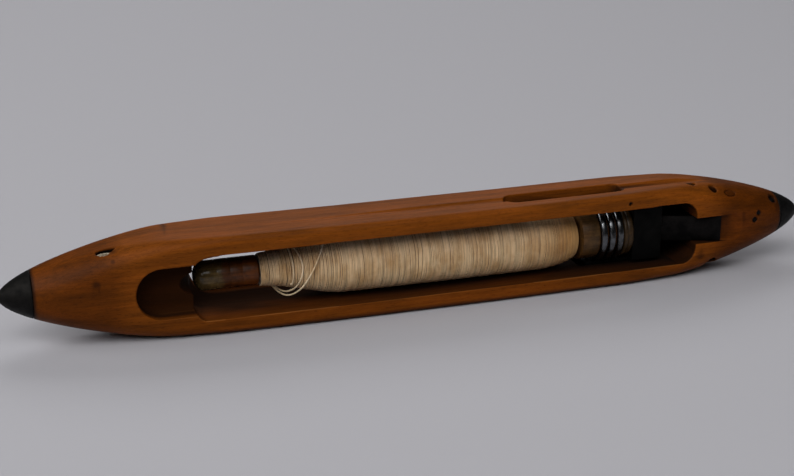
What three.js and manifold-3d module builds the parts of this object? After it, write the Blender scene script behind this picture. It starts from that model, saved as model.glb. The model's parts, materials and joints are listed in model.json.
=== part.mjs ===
// A loom shuttle that lies on one side wall, with its pirn of weft thread in the opening.
// Millimetres. +X runs along the shuttle, the open face looks along -Y, and +Z is up.
// The origin is at the middle of the underside.
import * as THREE from "three";
import { mergeVertices } from "three/addons/utils/BufferGeometryUtils.js";
import Module from "manifold-3d";

const wasm = await Module();
wasm.setup();

// Gaps between pieces
const seatGap = 0.3; // pieces that rest on or in each other
const runningGap = 0.35; // the pirn's rings in the jaws
const threadRoom = 0.9; // between the wound thread and the opening's walls
const buttGap = 0.7; // between the pirn's butt and the jaw block
const cutPast = 6; // how far a cutting form reaches past the surface it cuts

// Fineness of the round forms
const cornerSteps = 7;
const slotSteps = 9;
const lathedSides = 28;
const smallSides = 16;
const pinSides = 10;

// Wooden body
const bodyLength = 410; // from point to point
const bodyWidth = 47.6; // from side wall to side wall, upright here
const bodyDepth = 35.6; // from the open face to the back, at the middle
const barrelDrop = 5.4; // how much of that depth the barrel curve gives up by the points
const noseLength = 75.9; // stretch over which the side walls draw in
const noseCurve = 1.48; // how early they begin to draw in
const noseBluntness = 1.668; // how blunt the nose is
const noseMeeting = 8.8; // how closely the nose follows the round before it turns into the barrel
const noseRise = 1.21; // the points lie this far above the middle of the width
const riseLength = 162.5; // stretch over which they rise
const edgeRadius = 3.5; // edges of the middle stretch
const roundingStart = 12.7; // distance from the point where the round nose begins to change
const roundingLength = 94.5; // stretch over which it turns into the edged middle
const halfLength = bodyLength / 2;
const halfWidth = bodyWidth / 2;

// Steel tips
const tipLength = 15.5;
const shankDiameter = 9;
const shankLength = 30;
const tipPinDiameter = 2.6;
const tipPinLength = 15;
const tipPinMouth = 4.5; // countersink in the wood
const tipPinInset = 4; // from the wood's end to the pin
const tipPinSunk = 1.2;
const tipPinTilt = 51; // degrees above the horizontal, seen along the shuttle

// Pirn
const pirnY = 1;
const pirnZ = halfWidth + 0.4;
const pirnLeft = 89.5 - halfLength;
const pirnRight = halfLength - 98.8;
const headRadius = 7.2;
const headNoseReach = 4.5; // length of the head's rounded nose
const headLength = 29.7;
const headRight = pirnLeft + headLength;
const headGrooveDepth = 0.5;
const headGrooveWidth = 1.4;
const headGrooves = [10.5, 16.9, 22.9]; // distances from the pirn's thin end
const barrelRadius = 4.6; // under the thread
const turnedEdge = 0.5; // chamfer of its sharp edges
const buttLength = 25.8; // the stout end, without the cone
const coneRight = pirnRight - buttLength;
const coneLength = 3.9;
const coneLeft = coneRight - coneLength;
const buttBoreDiameter = 9;
const buttBoreInner = 6.7; // the bore narrows to this at its end
const buttBoreDepth = 70;

// Steel rings on the butt
const ringCount = 3;
const ringWidth = 4;
const ringPitch = ringWidth + 0.7;
const ringFirstX = coneRight + 8.4;
const ringRadius = 14.6;
const ringFoot = 1.1; // height of the ring's half-round
const ringSeatDepth = 1.1; // of the ring under that
const buttRadius = ringRadius - 1.9;
const ringsRight = ringFirstX + (ringCount - 1) * ringPitch + ringWidth / 2;
const flangeLeft = ringsRight + 0.5;
const flangeRight = flangeLeft + 2.2;
const flangeRadius = ringRadius - ringFoot;
const bandRadius = flangeRadius - 0.4;

// Thread
const threadRadius = 15.2;
const threadDiameter = 1.2;
const threadLeft = headRight + 0.8;
const threadLeftRadius = 7.6;
const threadFullLeft = threadLeft + 43;
const shoulderRight = coneLeft + 2.5;
const shoulderLeft = shoulderRight - 23;
const shoulderFoot = 6;
const windingRight = coneLeft - 1.5;
const coreLeft = threadLeft + 7;
const coreRight = windingRight - 2.6;
const windingLoops = 20;
const stepsPerLoop = 24;
const threadSides = 6;
const endBend = 0.9; // radius of the bend where an end turns down to the barrel

// Loose thread
const looseDiameter = 0.8;
const looseSides = 8;
const looseSteps = 80;

// Main opening
const openingLeft = pirnLeft - 1.5;
const openingHeight = 2 * (threadRadius + threadRoom);
const openingCentre = pirnZ; // height of its middle line
const openingLeftCorner = 5.5;
const openingUpperReach = 17; // its upper left corner is longer than it is high
const openingUpperHeight = 5;
const openingRightCorner = 8;
const backLeft = openingLeft + 2.5; // left end of the opening in the back face
const backHeightLeft = openingHeight - 7.2;
const backHeightRight = openingHeight - 1.2;
const throughRight = pirnRight; // the opening goes right through as far as here
const throughCorner = 7;
const coveStart = 3; // depth coordinate where the walls begin to curve in
const wellFloor = 9.4; // depth coordinate of the floor under the jaws
const noseCutLeft = openingLeft - 6.2; // where the sloping end starts in the pocket's floor
const noseCutHeight = 17;
const noseCutReach = 26;
const noseCutRight = openingLeft + 47;
const squareCorner = 1; // corner of a cut that ends inside another cut

// Threading pocket
const pocketLeft = openingLeft - 27.3;
const pocketHeight = 24.8;
const pocketCentre = pirnZ - 0.6;
const pocketFloor = -8; // depth coordinate
const pocketFillet = 3.2;

// Jaws
const jawBlockLeft = pirnRight + buttGap;
const jawHeadLength = 15.7;
const jawHeadRight = jawBlockLeft + jawHeadLength;
const jawHeadHeight = 2 * (ringRadius - seatGap);
const jawFront = -8.6;
const armFront = -2.6; // the arms lie further in than the block's front
const tailHeight = 13;
const tailLength = 29.3;
const tailRight = jawHeadRight + tailLength;
const armTip = ringFirstX - ringWidth / 2 - 2.5;
const armRoot = jawHeadRight - 1.2;
const armThickness = 2.3;
const armLead = 1.1; // slope at the tip that lets the rings in
const armFlex = 2.5; // degrees each arm opens
const hingeX = armRoot - 2.4; // where an arm bends

// Room in the wood for the jaws' arms
const armSwing = (hingeX - armTip) * Math.sin((armFlex * Math.PI) / 180);
const armOuter = ringRadius + runningGap + armThickness;
const armRoomHeight = 2 * (armOuter + armSwing + seatGap);
const armRoomLeft = armTip - 3.8;
const armRoomFront = armFront - seatGap;
const armBack = wellFloor - 2 * seatGap;

// Slot for the jaws' tail
const openingRight = jawHeadRight + 15.8;
const tailSlotHeight = tailHeight + 2 * seatGap;
const tailSlotCentre = pirnZ + 0.4;
const tailWellRight = tailRight + seatGap;
const tailSlotRight = tailRight + 13.7;

// Incline plate over the tail
const plateLeft = jawHeadRight + 0.8;
const plateRight = tailRight + 0.5;
const plateLeftY = -5.6;
const plateRightY = -15.9;
const plateThickness = 1;
const plateSlope = (plateRightY - plateLeftY) / (plateRight - plateLeft);
const plateDepth = plateThickness * Math.sqrt(1 + plateSlope * plateSlope);
const rampStart = plateRightY + plateDepth + seatGap; // bare ramp beside the plate's end
const rampEnd = rampStart - 1.2;

// Feeler slot and yarn groove in the upper wall
const feelerLength = 63;
const feelerRight = pirnRight - 4.2;
const feelerLeft = feelerRight - feelerLength;
const feelerFront = -9.1;
const feelerBack = 3;
const feelerCorner = 4.2;
const grooveWidth = 6.5;
const grooveDepth = 1.3;
const grooveY = -3;
const grooveRight = pirnRight + 53.8;
const grooveFullLength = 165;
const grooveFullLeft = grooveRight - grooveFullLength;
const grooveFadeLength = 68; // over which its left end rises out of the wood
const grooveHoleX = pirnRight + 31.8;
const grooveHoleY = -7.5;
const grooveHoleDiameter = 5.2;
const grooveHoleBottom = bodyWidth - 10.6;

// Thread eye
const eyeX = pocketLeft - 11.5;
const eyeY = -7.5;
const eyeTop = bodyWidth - 4.8; // the rim lies a little under the wood
const eyeLength = 8.4; // it is oval, longer along the shuttle
const eyeWidth = 4.6;
const eyeOval = eyeWidth / eyeLength;
const eyeBore = 5;
const eyeHeight = 6.5;
const eyeCollar = 2.2; // height of its wide upper part
const eyeLip = 0.7; // radius of its rounded rim
const eyeStem = eyeLength - 1.4;
const channelDiameter = 5;
const channelBottom = 25;
const channelHeight = 28; // of the bored channel from the pocket
const channelY = pocketFloor - channelDiameter / 2 - seatGap;

// Cross bolt
const boltX = tailRight - 2.9;
const boltY = -10.8;
const boltDiameter = 3.2;
const boltTop = bodyWidth - 6.4;
const boltHeadDiameter = 7.4;
const boltHeadHeight = 2.2;
const boltHeadBottom = 8.6;
const slotWidth = 1;
const slotDepth = 1;
const washerThickness = 0.8;
const boltMouth = 4.4;
const boltMouthBottom = boltTop - 2.2;

// Plug and brads
const plugX = boltX + 9.5;
const plugZ = bodyWidth - 6; // middle of its end in the surface
const plugY = boltY - 1;
const plugAlong = 6; // it is oval, longer along the shuttle
const plugAcross = 3.2;
const plugLength = 9;
const plugTilt = 48; // degrees above the horizontal, seen along the shuttle
const brads = [
  { name: "ramp_brad", x: plugX + 13.7, z: halfWidth + 3, diameter: 2.3, length: 7 },
  { name: "ramp_pin", x: plugX + 16, z: halfWidth + 6.3, diameter: 1.8, length: 6 },
  { name: "wall_pin", x: pirnRight - 5.5, z: bodyWidth - 4.3, diameter: 1.2, length: 5 },
];
const bradSunk = 0.4;

const openingHalf = openingHeight / 2;
const quarterTurn = Math.PI / 2;
const nearlyRound = 0.985; // keeps a full round end from folding into a point

function smooth(t) {
  const held = Math.min(Math.max(t, 0), 1);
  return held * held * (3 - 2 * held);
}

// Half width, half depth, corner radius and middle height of the body at a place along it.
function bodySection(x) {
  const fromPoint = Math.max(halfLength - Math.abs(x), 0);
  const toNose = Math.max(1 - fromPoint / noseLength, 0);
  const drawnIn = Math.max(1 - Math.pow(toNose, noseCurve), 1e-9);
  const half = halfWidth * Math.pow(drawnIn, 1 / noseBluntness);
  const barrel = (bodyDepth - barrelDrop * Math.pow(1 - fromPoint / halfLength, 2)) / 2;
  const softened = Math.pow(half, -noseMeeting) + Math.pow(barrel, -noseMeeting);
  const depth = Math.pow(softened, -1 / noseMeeting);
  const edged = smooth((fromPoint - roundingStart) / roundingLength);
  const radius = Math.min(half, depth) * (1 - edged) * nearlyRound + edgeRadius * edged;
  const rise = noseRise * Math.max(1 - fromPoint / riseLength, 0);
  return { half, depth, radius, centre: halfWidth + rise };
}

// The body's outline at a place along it.
function bodyRing(x) {
  const { half, depth, radius, centre } = bodySection(x);
  const ring = [];
  for (let corner = 0; corner < 4; corner++) {
    const cornerY = (corner === 0 || corner === 3 ? 1 : -1) * (depth - radius);
    const cornerZ = (corner < 2 ? 1 : -1) * (half - radius);
    for (let step = 0; step <= cornerSteps; step++) {
      const angle = (corner + step / cornerSteps) * quarterTurn;
      const y = cornerY + radius * Math.cos(angle);
      const z = centre + cornerZ + radius * Math.sin(angle);
      ring.push(new THREE.Vector3(x, y, z));
    }
  }
  return ring;
}

// Turns a closed form's faces outwards if they look inwards.
function facingOut(positions, faces) {
  const [a, b, c] = [new THREE.Vector3(), new THREE.Vector3(), new THREE.Vector3()];
  let volume = 0;
  for (let i = 0; i < faces.length; i += 3) {
    a.fromArray(positions, faces[i] * 3);
    b.fromArray(positions, faces[i + 1] * 3);
    c.fromArray(positions, faces[i + 2] * 3);
    volume += a.dot(b.cross(c));
  }
  if (volume < 0) {
    for (let i = 0; i < faces.length; i += 3) {
      [faces[i + 1], faces[i + 2]] = [faces[i + 2], faces[i + 1]];
    }
  }
  const geometry = new THREE.BufferGeometry();
  geometry.setAttribute("position", new THREE.Float32BufferAttribute(positions, 3));
  geometry.setIndex(faces);
  return geometry;
}

// Skins a row of rings that have equal counts of points. A point can close the far end.
function loft(rings, apex) {
  const count = rings[0].length;
  const points = rings.flat();
  const faces = [];
  for (let ring = 0; ring + 1 < rings.length; ring++) {
    for (let i = 0; i < count; i++) {
      const here = ring * count + i;
      const next = ring * count + ((i + 1) % count);
      faces.push(here, next, next + count);
      faces.push(here, next + count, here + count);
    }
  }
  for (let i = 1; i + 1 < count; i++) faces.push(0, i + 1, i);
  const last = (rings.length - 1) * count;
  if (apex) points.push(apex);
  for (let i = 0; i < count; i++) {
    if (apex) faces.push(last + i, last + ((i + 1) % count), points.length - 1);
    else if (i > 0 && i + 1 < count) faces.push(last, last + i, last + i + 1);
  }
  const positions = points.flatMap((point) => point.toArray());
  return facingOut(positions, faces);
}

// The same form with shared points merged and its faces outwards.
function closed(geometry) {
  const bare = new THREE.BufferGeometry();
  bare.setAttribute("position", geometry.getAttribute("position"));
  if (geometry.index) bare.setIndex(geometry.index);
  const merged = mergeVertices(bare, 1e-3);
  return facingOut([...merged.getAttribute("position").array], [...merged.index.array]);
}

function toSolid(geometry) {
  const form = closed(geometry);
  return new wasm.Manifold(
    new wasm.Mesh({
      numProp: 3,
      vertProperties: form.getAttribute("position").array,
      triVerts: new Uint32Array(form.index.array),
    }),
  );
}

function toGeometry(solid) {
  const mesh = solid.getMesh();
  const geometry = new THREE.BufferGeometry();
  geometry.setAttribute("position", new THREE.BufferAttribute(mesh.vertProperties, 3));
  geometry.setIndex(new THREE.BufferAttribute(mesh.triVerts, 1));
  return geometry;
}

// A round rod from one point to another.
function rod(from, to, diameter, sides = smallSides) {
  const axis = new THREE.Vector3().subVectors(to, from);
  const form = new THREE.CylinderGeometry(diameter / 2, diameter / 2, axis.length(), sides);
  const turn = new THREE.Quaternion().setFromUnitVectors(
    new THREE.Vector3(0, 1, 0),
    axis.clone().normalize(),
  );
  form.applyQuaternion(turn);
  form.translate(...new THREE.Vector3().addVectors(from, to).multiplyScalar(0.5).toArray());
  return form;
}

// An upright rod at a place seen from above.
function uprightRod(x, y, bottom, top, diameter, sides) {
  return rod(new THREE.Vector3(x, y, bottom), new THREE.Vector3(x, y, top), diameter, sides);
}

// A box between two corners.
function block(low, high) {
  const size = new THREE.Vector3().subVectors(high, low);
  const form = new THREE.BoxGeometry(size.x, size.y, size.z);
  const middle = new THREE.Vector3().addVectors(low, high).multiplyScalar(0.5);
  form.translate(middle.x, middle.y, middle.z);
  return form;
}

// A long outline with rounded ends, in the directions along the shuttle and across it.
// Each end gives its place, its half height, and the reach and height of its two corners.
// The upper left corner can have its own.
function slotOutline({ left, right, centre, upperLeft = left }) {
  const corners = [
    { end: right, side: 1, up: 1 },
    { end: upperLeft, side: -1, up: 1 },
    { end: left, side: -1, up: -1 },
    { end: right, side: 1, up: -1 },
  ];
  return corners.flatMap(({ end, side, up }, corner) => {
    const points = [];
    for (let step = 0; step <= slotSteps; step++) {
      const angle = (corner + step / slotSteps) * quarterTurn;
      const along = end.at - side * end.reach + end.reach * Math.cos(angle);
      const across = centre + up * (end.half - end.round) + end.round * Math.sin(angle);
      points.push([along, across]);
    }
    return points;
  });
}

// A corner of a slot: reach along it and height across it, both the same where it is round.
function slotEnd(at, half, reach, round = reach) {
  return { at, half, reach, round: Math.min(round, half * nearlyRound) };
}

function slotRingAtDepth(y, outline) {
  return slotOutline(outline).map(([along, across]) => new THREE.Vector3(along, y, across));
}

function slotRingAtHeight(z, outline) {
  return slotOutline(outline).map(([along, across]) => new THREE.Vector3(along, across, z));
}

// A flat outline in X and Y pulled upright between two heights.
function uprightPrism(outline, bottom, top) {
  const shape = new THREE.Shape(outline.map(([x, y]) => new THREE.Vector2(x, y)));
  const form = new THREE.ExtrudeGeometry(shape, { depth: top - bottom, bevelEnabled: false });
  form.translate(0, 0, bottom);
  return form;
}

// A flat outline in X and Z pulled from the front to the back.
function deepPrism(outline, front, back) {
  const shape = new THREE.Shape(outline.map(([x, z]) => new THREE.Vector2(x, z)));
  const form = new THREE.ExtrudeGeometry(shape, { depth: back - front, bevelEnabled: false });
  form.rotateX(quarterTurn);
  form.translate(0, back, 0);
  return form;
}

// A turned form about the pirn's axis, from pairs of place along it and radius.
function turned(profile, sides = lathedSides) {
  const points = profile.map(([x, radius]) => new THREE.Vector2(radius, x));
  const form = new THREE.LatheGeometry(points, sides);
  form.rotateZ(-quarterTurn);
  form.translate(0, pirnY, pirnZ);
  return closed(form);
}

// A place near the pirn, from its angle off the top towards the open face.
function aroundPirn(x, angle, radius) {
  const y = pirnY - radius * Math.sin(angle);
  const z = pirnZ + radius * Math.cos(angle);
  return new THREE.Vector3(x, y, z);
}

const frontCut = -bodyDepth / 2 - cutPast;
const backCut = bodyDepth / 2 + cutPast;

// The opening's front stretch has straight walls, and they curve in towards the back.
function openingThrough() {
  const rings = [];
  const levels = 6;
  const corner = openingLeftCorner;
  const front = {
    left: slotEnd(openingLeft, openingHalf, corner),
    upperLeft: slotEnd(openingLeft, openingHalf, openingUpperReach, openingUpperHeight),
    right: slotEnd(throughRight, openingHalf, throughCorner),
    centre: openingCentre,
  };
  rings.push(slotRingAtDepth(frontCut, front));
  for (let level = 0; level <= levels; level++) {
    const t = level / levels;
    const curve = 1 - Math.sqrt(1 - Math.pow(t, 2));
    const y = coveStart + (bodyDepth / 2 - coveStart) * t;
    const halfLeft = openingHalf + (backHeightLeft / 2 - openingHalf) * curve;
    const halfRight = openingHalf + (backHeightRight / 2 - openingHalf) * curve;
    const leftCorner = corner + (halfLeft - corner) * t;
    const upperReach = openingUpperReach + (halfLeft - openingUpperReach) * t;
    const upperHeight = openingUpperHeight + (halfLeft - openingUpperHeight) * t;
    const leftAt = openingLeft + (backLeft - openingLeft) * t;
    rings.push(
      slotRingAtDepth(y, {
        left: slotEnd(leftAt, halfLeft, leftCorner),
        upperLeft: slotEnd(leftAt, halfLeft, upperReach, upperHeight),
        right: slotEnd(throughRight, halfRight, throughCorner),
        centre: openingCentre,
      }),
    );
  }
  const last = rings[rings.length - 1];
  rings.push(last.map((point) => new THREE.Vector3(point.x, backCut, point.z)));
  return loft(rings);
}

// The shallower stretch over the jaws, with a wooden floor.
function openingOverJaws() {
  const outline = {
    left: slotEnd(throughRight - 2 * throughCorner, openingHalf, squareCorner),
    right: slotEnd(openingRight, openingHalf, openingRightCorner),
    centre: openingCentre,
  };
  return loft([slotRingAtDepth(frontCut, outline), slotRingAtDepth(wellFloor, outline)]);
}

// The sloping left end, from the pocket's floor to the opening in the back.
function slopingEnd() {
  const near = {
    left: slotEnd(noseCutLeft, noseCutHeight / 2, noseCutReach, noseCutHeight / 2),
    right: slotEnd(noseCutRight, noseCutHeight / 2, squareCorner),
    centre: openingCentre,
  };
  const far = {
    left: slotEnd(backLeft, noseCutHeight / 2, noseCutReach / 2, noseCutHeight / 2),
    right: slotEnd(noseCutRight, noseCutHeight / 2, squareCorner),
    centre: openingCentre,
  };
  return loft([
    slotRingAtDepth(pocketFloor - seatGap, near),
    slotRingAtDepth(bodyDepth / 2, far),
    slotRingAtDepth(backCut, far),
  ]);
}

// The blind pocket for threading, with a filleted floor.
function threadingPocket() {
  const rings = [];
  const half = pocketHeight / 2;
  const ringAt = (y, inset) =>
    slotRingAtDepth(y, {
      left: slotEnd(pocketLeft + inset, half - inset, half - inset),
      right: slotEnd(openingLeft + 2 * openingLeftCorner, half - inset, squareCorner),
      centre: pocketCentre,
    });
  rings.push(ringAt(frontCut, 0));
  const steps = 3;
  for (let step = 0; step <= steps; step++) {
    const angle = (step / steps) * quarterTurn;
    const inset = pocketFillet * (1 - Math.cos(angle));
    rings.push(ringAt(pocketFloor - pocketFillet * (1 - Math.sin(angle)), inset));
  }
  return loft(rings);
}

// The slot for the jaws' tail, and the bare ramp that runs out of it.
function tailSlot() {
  const half = tailSlotHeight / 2;
  const outline = {
    left: slotEnd(openingRight - openingRightCorner, half, squareCorner),
    right: slotEnd(tailSlotRight, half, half),
    centre: tailSlotCentre,
  };
  const slot = toSolid(
    loft([slotRingAtDepth(frontCut, outline), slotRingAtDepth(wellFloor, outline)]),
  );
  const side = [
    [openingRight - 2 * openingRightCorner, frontCut],
    [openingRight - 2 * openingRightCorner, wellFloor],
    [tailWellRight, wellFloor],
    [tailWellRight, rampStart],
    [tailSlotRight, rampEnd],
    [tailSlotRight + cutPast, frontCut],
  ];
  return slot.intersect(toSolid(uprightPrism(side, 0, bodyWidth)));
}

function armRoom() {
  const half = armRoomHeight / 2;
  return block(
    new THREE.Vector3(armRoomLeft, armRoomFront, pirnZ - half),
    new THREE.Vector3(jawHeadRight + seatGap, wellFloor, pirnZ + half),
  );
}

function feelerSlot() {
  const half = (feelerBack - feelerFront) / 2;
  const outline = {
    left: slotEnd(feelerLeft, half, half),
    right: slotEnd(feelerRight, half, feelerCorner),
    centre: (feelerFront + feelerBack) / 2,
  };
  const bottom = openingCentre + openingHalf / 2;
  return loft([
    slotRingAtHeight(bottom, outline),
    slotRingAtHeight(bodyWidth + cutPast, outline),
  ]);
}

// A shallow round-bottomed groove that fades out at its left end.
function yarnGroove() {
  const half = grooveWidth / 2;
  const radius = (half * half + grooveDepth * grooveDepth) / (2 * grooveDepth);
  const axisZ = bodyWidth + radius - grooveDepth;
  const places = [
    [grooveFullLeft - 2 * grooveFadeLength, axisZ + 2 * grooveDepth],
    [grooveFullLeft, axisZ],
    [grooveRight, axisZ],
  ];
  const rings = places.map(([x, z]) => {
    const ring = [];
    for (let side = 0; side < smallSides; side++) {
      const angle = (side / smallSides) * 2 * Math.PI;
      const y = grooveY + radius * Math.cos(angle);
      ring.push(new THREE.Vector3(x, y, z + radius * Math.sin(angle)));
    }
    return ring;
  });
  return loft(rings);
}

// The way from the pocket to the eye: a bored channel and the eye's own seat.
function eyeCuts() {
  const ovalCut = (bottom, top, length) => {
    const form = uprightRod(0, 0, bottom, top, 1, lathedSides);
    form.scale(length + 2 * seatGap, length * eyeOval + 2 * seatGap, 1);
    form.translate(eyeX, eyeY, 0);
    return form;
  };
  return [
    ovalCut(eyeTop - eyeCollar - seatGap, bodyWidth + cutPast, eyeLength),
    ovalCut(eyeTop - eyeHeight - seatGap, eyeTop, eyeStem),
    uprightRod(eyeX, eyeY, channelBottom, eyeTop - eyeHeight, channelDiameter),
    rod(
      new THREE.Vector3(eyeX, channelY, channelHeight),
      new THREE.Vector3(pocketLeft + pocketHeight / 2, channelY, channelHeight),
      channelDiameter,
    ),
  ];
}

function boltCuts() {
  const bore = boltDiameter + 2 * seatGap;
  const counterbore = boltHeadDiameter + 2 * seatGap;
  const headTop = boltHeadBottom + boltHeadHeight + washerThickness + 2 * seatGap;
  return [
    uprightRod(boltX, boltY, -cutPast, bodyWidth + cutPast, bore),
    uprightRod(boltX, boltY, -cutPast, headTop, counterbore),
    uprightRod(boltX, boltY, boltMouthBottom, bodyWidth + cutPast, boltMouth),
  ];
}

// Where a line along Y meets the body's front face.
function frontSurface(x, z) {
  const { half, depth, radius, centre } = bodySection(x);
  const overCorner = Math.abs(z - centre) - (half - radius);
  const inset = overCorner > 0 ? radius - Math.sqrt(radius * radius - overCorner * overCorner) : 0;
  return inset - depth;
}

// The plug's oval rod, from well outside the wood to its inner end, grown by a clearance.
function plugRod(clearance) {
  const tilt = THREE.MathUtils.degToRad(plugTilt);
  const out = new THREE.Vector3(0, -Math.cos(tilt), Math.sin(tilt));
  const mouth = new THREE.Vector3(0, plugY, plugZ);
  const outer = mouth.clone().addScaledVector(out, cutPast);
  const inner = mouth.clone().addScaledVector(out, -plugLength - clearance);
  const across = plugAcross + 2 * clearance;
  const form = rod(outer, inner, across);
  form.scale((plugAlong + 2 * clearance) / across, 1, 1);
  form.translate(plugX, 0, 0);
  return form;
}

function bradCuts() {
  return brads.map(({ x, z, diameter, length }) => {
    const surface = frontSurface(x, z);
    const bottom = new THREE.Vector3(x, surface + bradSunk + length + seatGap, z);
    return rod(new THREE.Vector3(x, surface - cutPast, z), bottom, diameter + 2 * seatGap, pinSides);
  });
}

// The line of a tip's cross pin: its outer end, its inner end and its direction.
function tipPinLine(side) {
  const x = side * (halfLength - tipLength - tipPinInset);
  const { half, centre } = bodySection(x);
  const tilt = THREE.MathUtils.degToRad(tipPinTilt);
  const out = new THREE.Vector3(0, -Math.cos(tilt), Math.sin(tilt)).multiplyScalar(side);
  const middle = new THREE.Vector3(x, 0, centre);
  const outer = middle.clone().addScaledVector(out, half - tipPinSunk);
  const inner = outer.clone().addScaledVector(out, -tipPinLength);
  return { out, outer, inner };
}

function tipCuts(side) {
  const woodEnd = side * (halfLength - tipLength);
  const { centre } = bodySection(woodEnd);
  const { out, outer, inner } = tipPinLine(side);
  const mouthDepth = 2;
  return [
    rod(
      new THREE.Vector3(woodEnd + side * cutPast, 0, centre),
      new THREE.Vector3(woodEnd - side * (shankLength + seatGap), 0, centre),
      shankDiameter + 2 * seatGap,
    ),
    rod(
      outer.clone().addScaledVector(out, cutPast),
      inner.clone().addScaledVector(out, -seatGap),
      tipPinDiameter + 2 * seatGap,
      pinSides,
    ),
    rod(
      outer.clone().addScaledVector(out, cutPast),
      outer.clone().addScaledVector(out, tipPinSunk - mouthDepth),
      tipPinMouth,
    ),
  ];
}

function bodyStations() {
  const woodEnd = halfLength - tipLength;
  const noseSteps = 12;
  const noseStepSpread = 1.3;
  const middleSteps = 5;
  const side = [];
  for (let step = 0; step <= noseSteps; step++) {
    const t = Math.pow(step / noseSteps, noseStepSpread);
    side.push(woodEnd - t * (noseLength - tipLength));
  }
  const noseEnd = halfLength - noseLength;
  for (let step = 1; step <= middleSteps; step++) {
    side.push(noseEnd * (1 - step / middleSteps));
  }
  const right = side.slice(0, -1).reverse();
  return [...side.map((x) => -x), ...right];
}

function shuttleBody() {
  const outer = toSolid(loft(bodyStations().map(bodyRing)));
  const cuts = [
    openingThrough(),
    openingOverJaws(),
    slopingEnd(),
    threadingPocket(),
    armRoom(),
    feelerSlot(),
    yarnGroove(),
    uprightRod(grooveHoleX, grooveHoleY, grooveHoleBottom, bodyWidth + cutPast, grooveHoleDiameter),
    plugRod(seatGap),
    ...eyeCuts(),
    ...boltCuts(),
    ...bradCuts(),
    ...tipCuts(-1),
    ...tipCuts(1),
  ];
  let body = outer.subtract(tailSlot());
  for (const cut of cuts) body = body.subtract(toSolid(cut));
  return toGeometry(body);
}

// A steel point with its shank, bored across for the pin.
function steelTip(side) {
  const base = halfLength - tipLength + seatGap;
  const rings = [];
  const steps = 7;
  const stepSpread = 1.5;
  const firstReach = 0.3;
  const stretch = tipLength - seatGap - firstReach;
  for (let step = 0; step <= steps; step++) {
    const fromPoint = firstReach + stretch * Math.pow(1 - step / steps, stepSpread);
    rings.push(bodyRing(side * (halfLength - fromPoint)));
  }
  const apex = new THREE.Vector3(side * halfLength, 0, bodySection(halfLength).centre);
  const joinDepth = 1;
  const { centre } = bodySection(base);
  const shank = rod(
    new THREE.Vector3(side * (base + joinDepth), 0, centre),
    new THREE.Vector3(side * (halfLength - tipLength - shankLength), 0, centre),
    shankDiameter,
  );
  const { out, outer, inner } = tipPinLine(side);
  const pinBore = rod(
    outer.clone().addScaledVector(out, cutPast),
    inner.clone().addScaledVector(out, -cutPast),
    tipPinDiameter + 2 * seatGap,
    pinSides,
  );
  const point = toSolid(loft(rings, apex)).add(toSolid(shank));
  return toGeometry(point.subtract(toSolid(pinBore)));
}

function tipPin(side) {
  const { outer, inner } = tipPinLine(side);
  return rod(outer, inner, tipPinDiameter, pinSides);
}

// An oval porcelain eye with a rounded rim.
function threadEye() {
  const rim = eyeLength / 2;
  const bore = eyeBore / 2;
  const profile = [
    [bore, 0],
    [eyeStem / 2, 0],
    [eyeStem / 2, eyeHeight - eyeCollar],
    [rim, eyeHeight - eyeCollar],
    [rim, eyeHeight - eyeLip],
    [rim - eyeLip / 2, eyeHeight - eyeLip / 8],
    [rim - eyeLip, eyeHeight],
    [bore + eyeLip, eyeHeight - eyeLip],
    [bore, eyeHeight - 2 * eyeLip],
    [bore, 0],
  ];
  const form = new THREE.LatheGeometry(
    profile.map(([radius, height]) => new THREE.Vector2(radius, height)),
    lathedSides / 2,
  );
  form.rotateX(quarterTurn);
  form.scale(1, eyeOval, 1);
  form.translate(eyeX, eyeY, eyeTop - eyeHeight);
  return closed(form);
}

// The line of the plate's upper face.
function inclineY(x) {
  return plateLeftY + plateSlope * (x - plateLeft);
}

function inclinePlate() {
  const outline = [
    [plateLeft, inclineY(plateLeft)],
    [plateRight, inclineY(plateRight)],
    [plateRight, inclineY(plateRight) + plateDepth],
    [plateLeft, inclineY(plateLeft) + plateDepth],
  ];
  return uprightPrism(outline, tailSlotCentre - tailHeight / 2, tailSlotCentre + tailHeight / 2);
}

// The iron block that carries the arms, with its tail under the plate.
function jawBlock() {
  const back = wellFloor - seatGap;
  const head = block(
    new THREE.Vector3(jawBlockLeft, jawFront, pirnZ - jawHeadHeight / 2),
    new THREE.Vector3(jawHeadRight, back, pirnZ + jawHeadHeight / 2),
  );
  const under = plateDepth + seatGap;
  const joinDepth = 1;
  const tailLeft = jawHeadRight - joinDepth;
  const tail = uprightPrism(
    [
      [tailLeft, back],
      [tailLeft, inclineY(tailLeft) + under],
      [tailRight, inclineY(tailRight) + under],
      [tailRight, back],
    ],
    tailSlotCentre - tailHeight / 2,
    tailSlotCentre + tailHeight / 2,
  );
  const bore = uprightRod(boltX, boltY, 0, bodyWidth, boltDiameter + 2 * seatGap);
  return toGeometry(toSolid(head).add(toSolid(tail)).subtract(toSolid(bore)));
}

// Height over the pirn's axis of a ring's outer face, grown by a clearance.
function ringGauge(x, clearance) {
  let height = 0;
  for (let ring = 0; ring < ringCount; ring++) {
    const offset = (x - ringFirstX - ring * ringPitch) / (ringWidth / 2 + clearance);
    const foot = ringRadius - ringFoot;
    if (Math.abs(offset) < 1) {
      const bulge = Math.sqrt(1 - offset * offset);
      height = Math.max(height, foot + clearance + ringFoot * bulge);
    }
  }
  return height;
}

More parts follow.
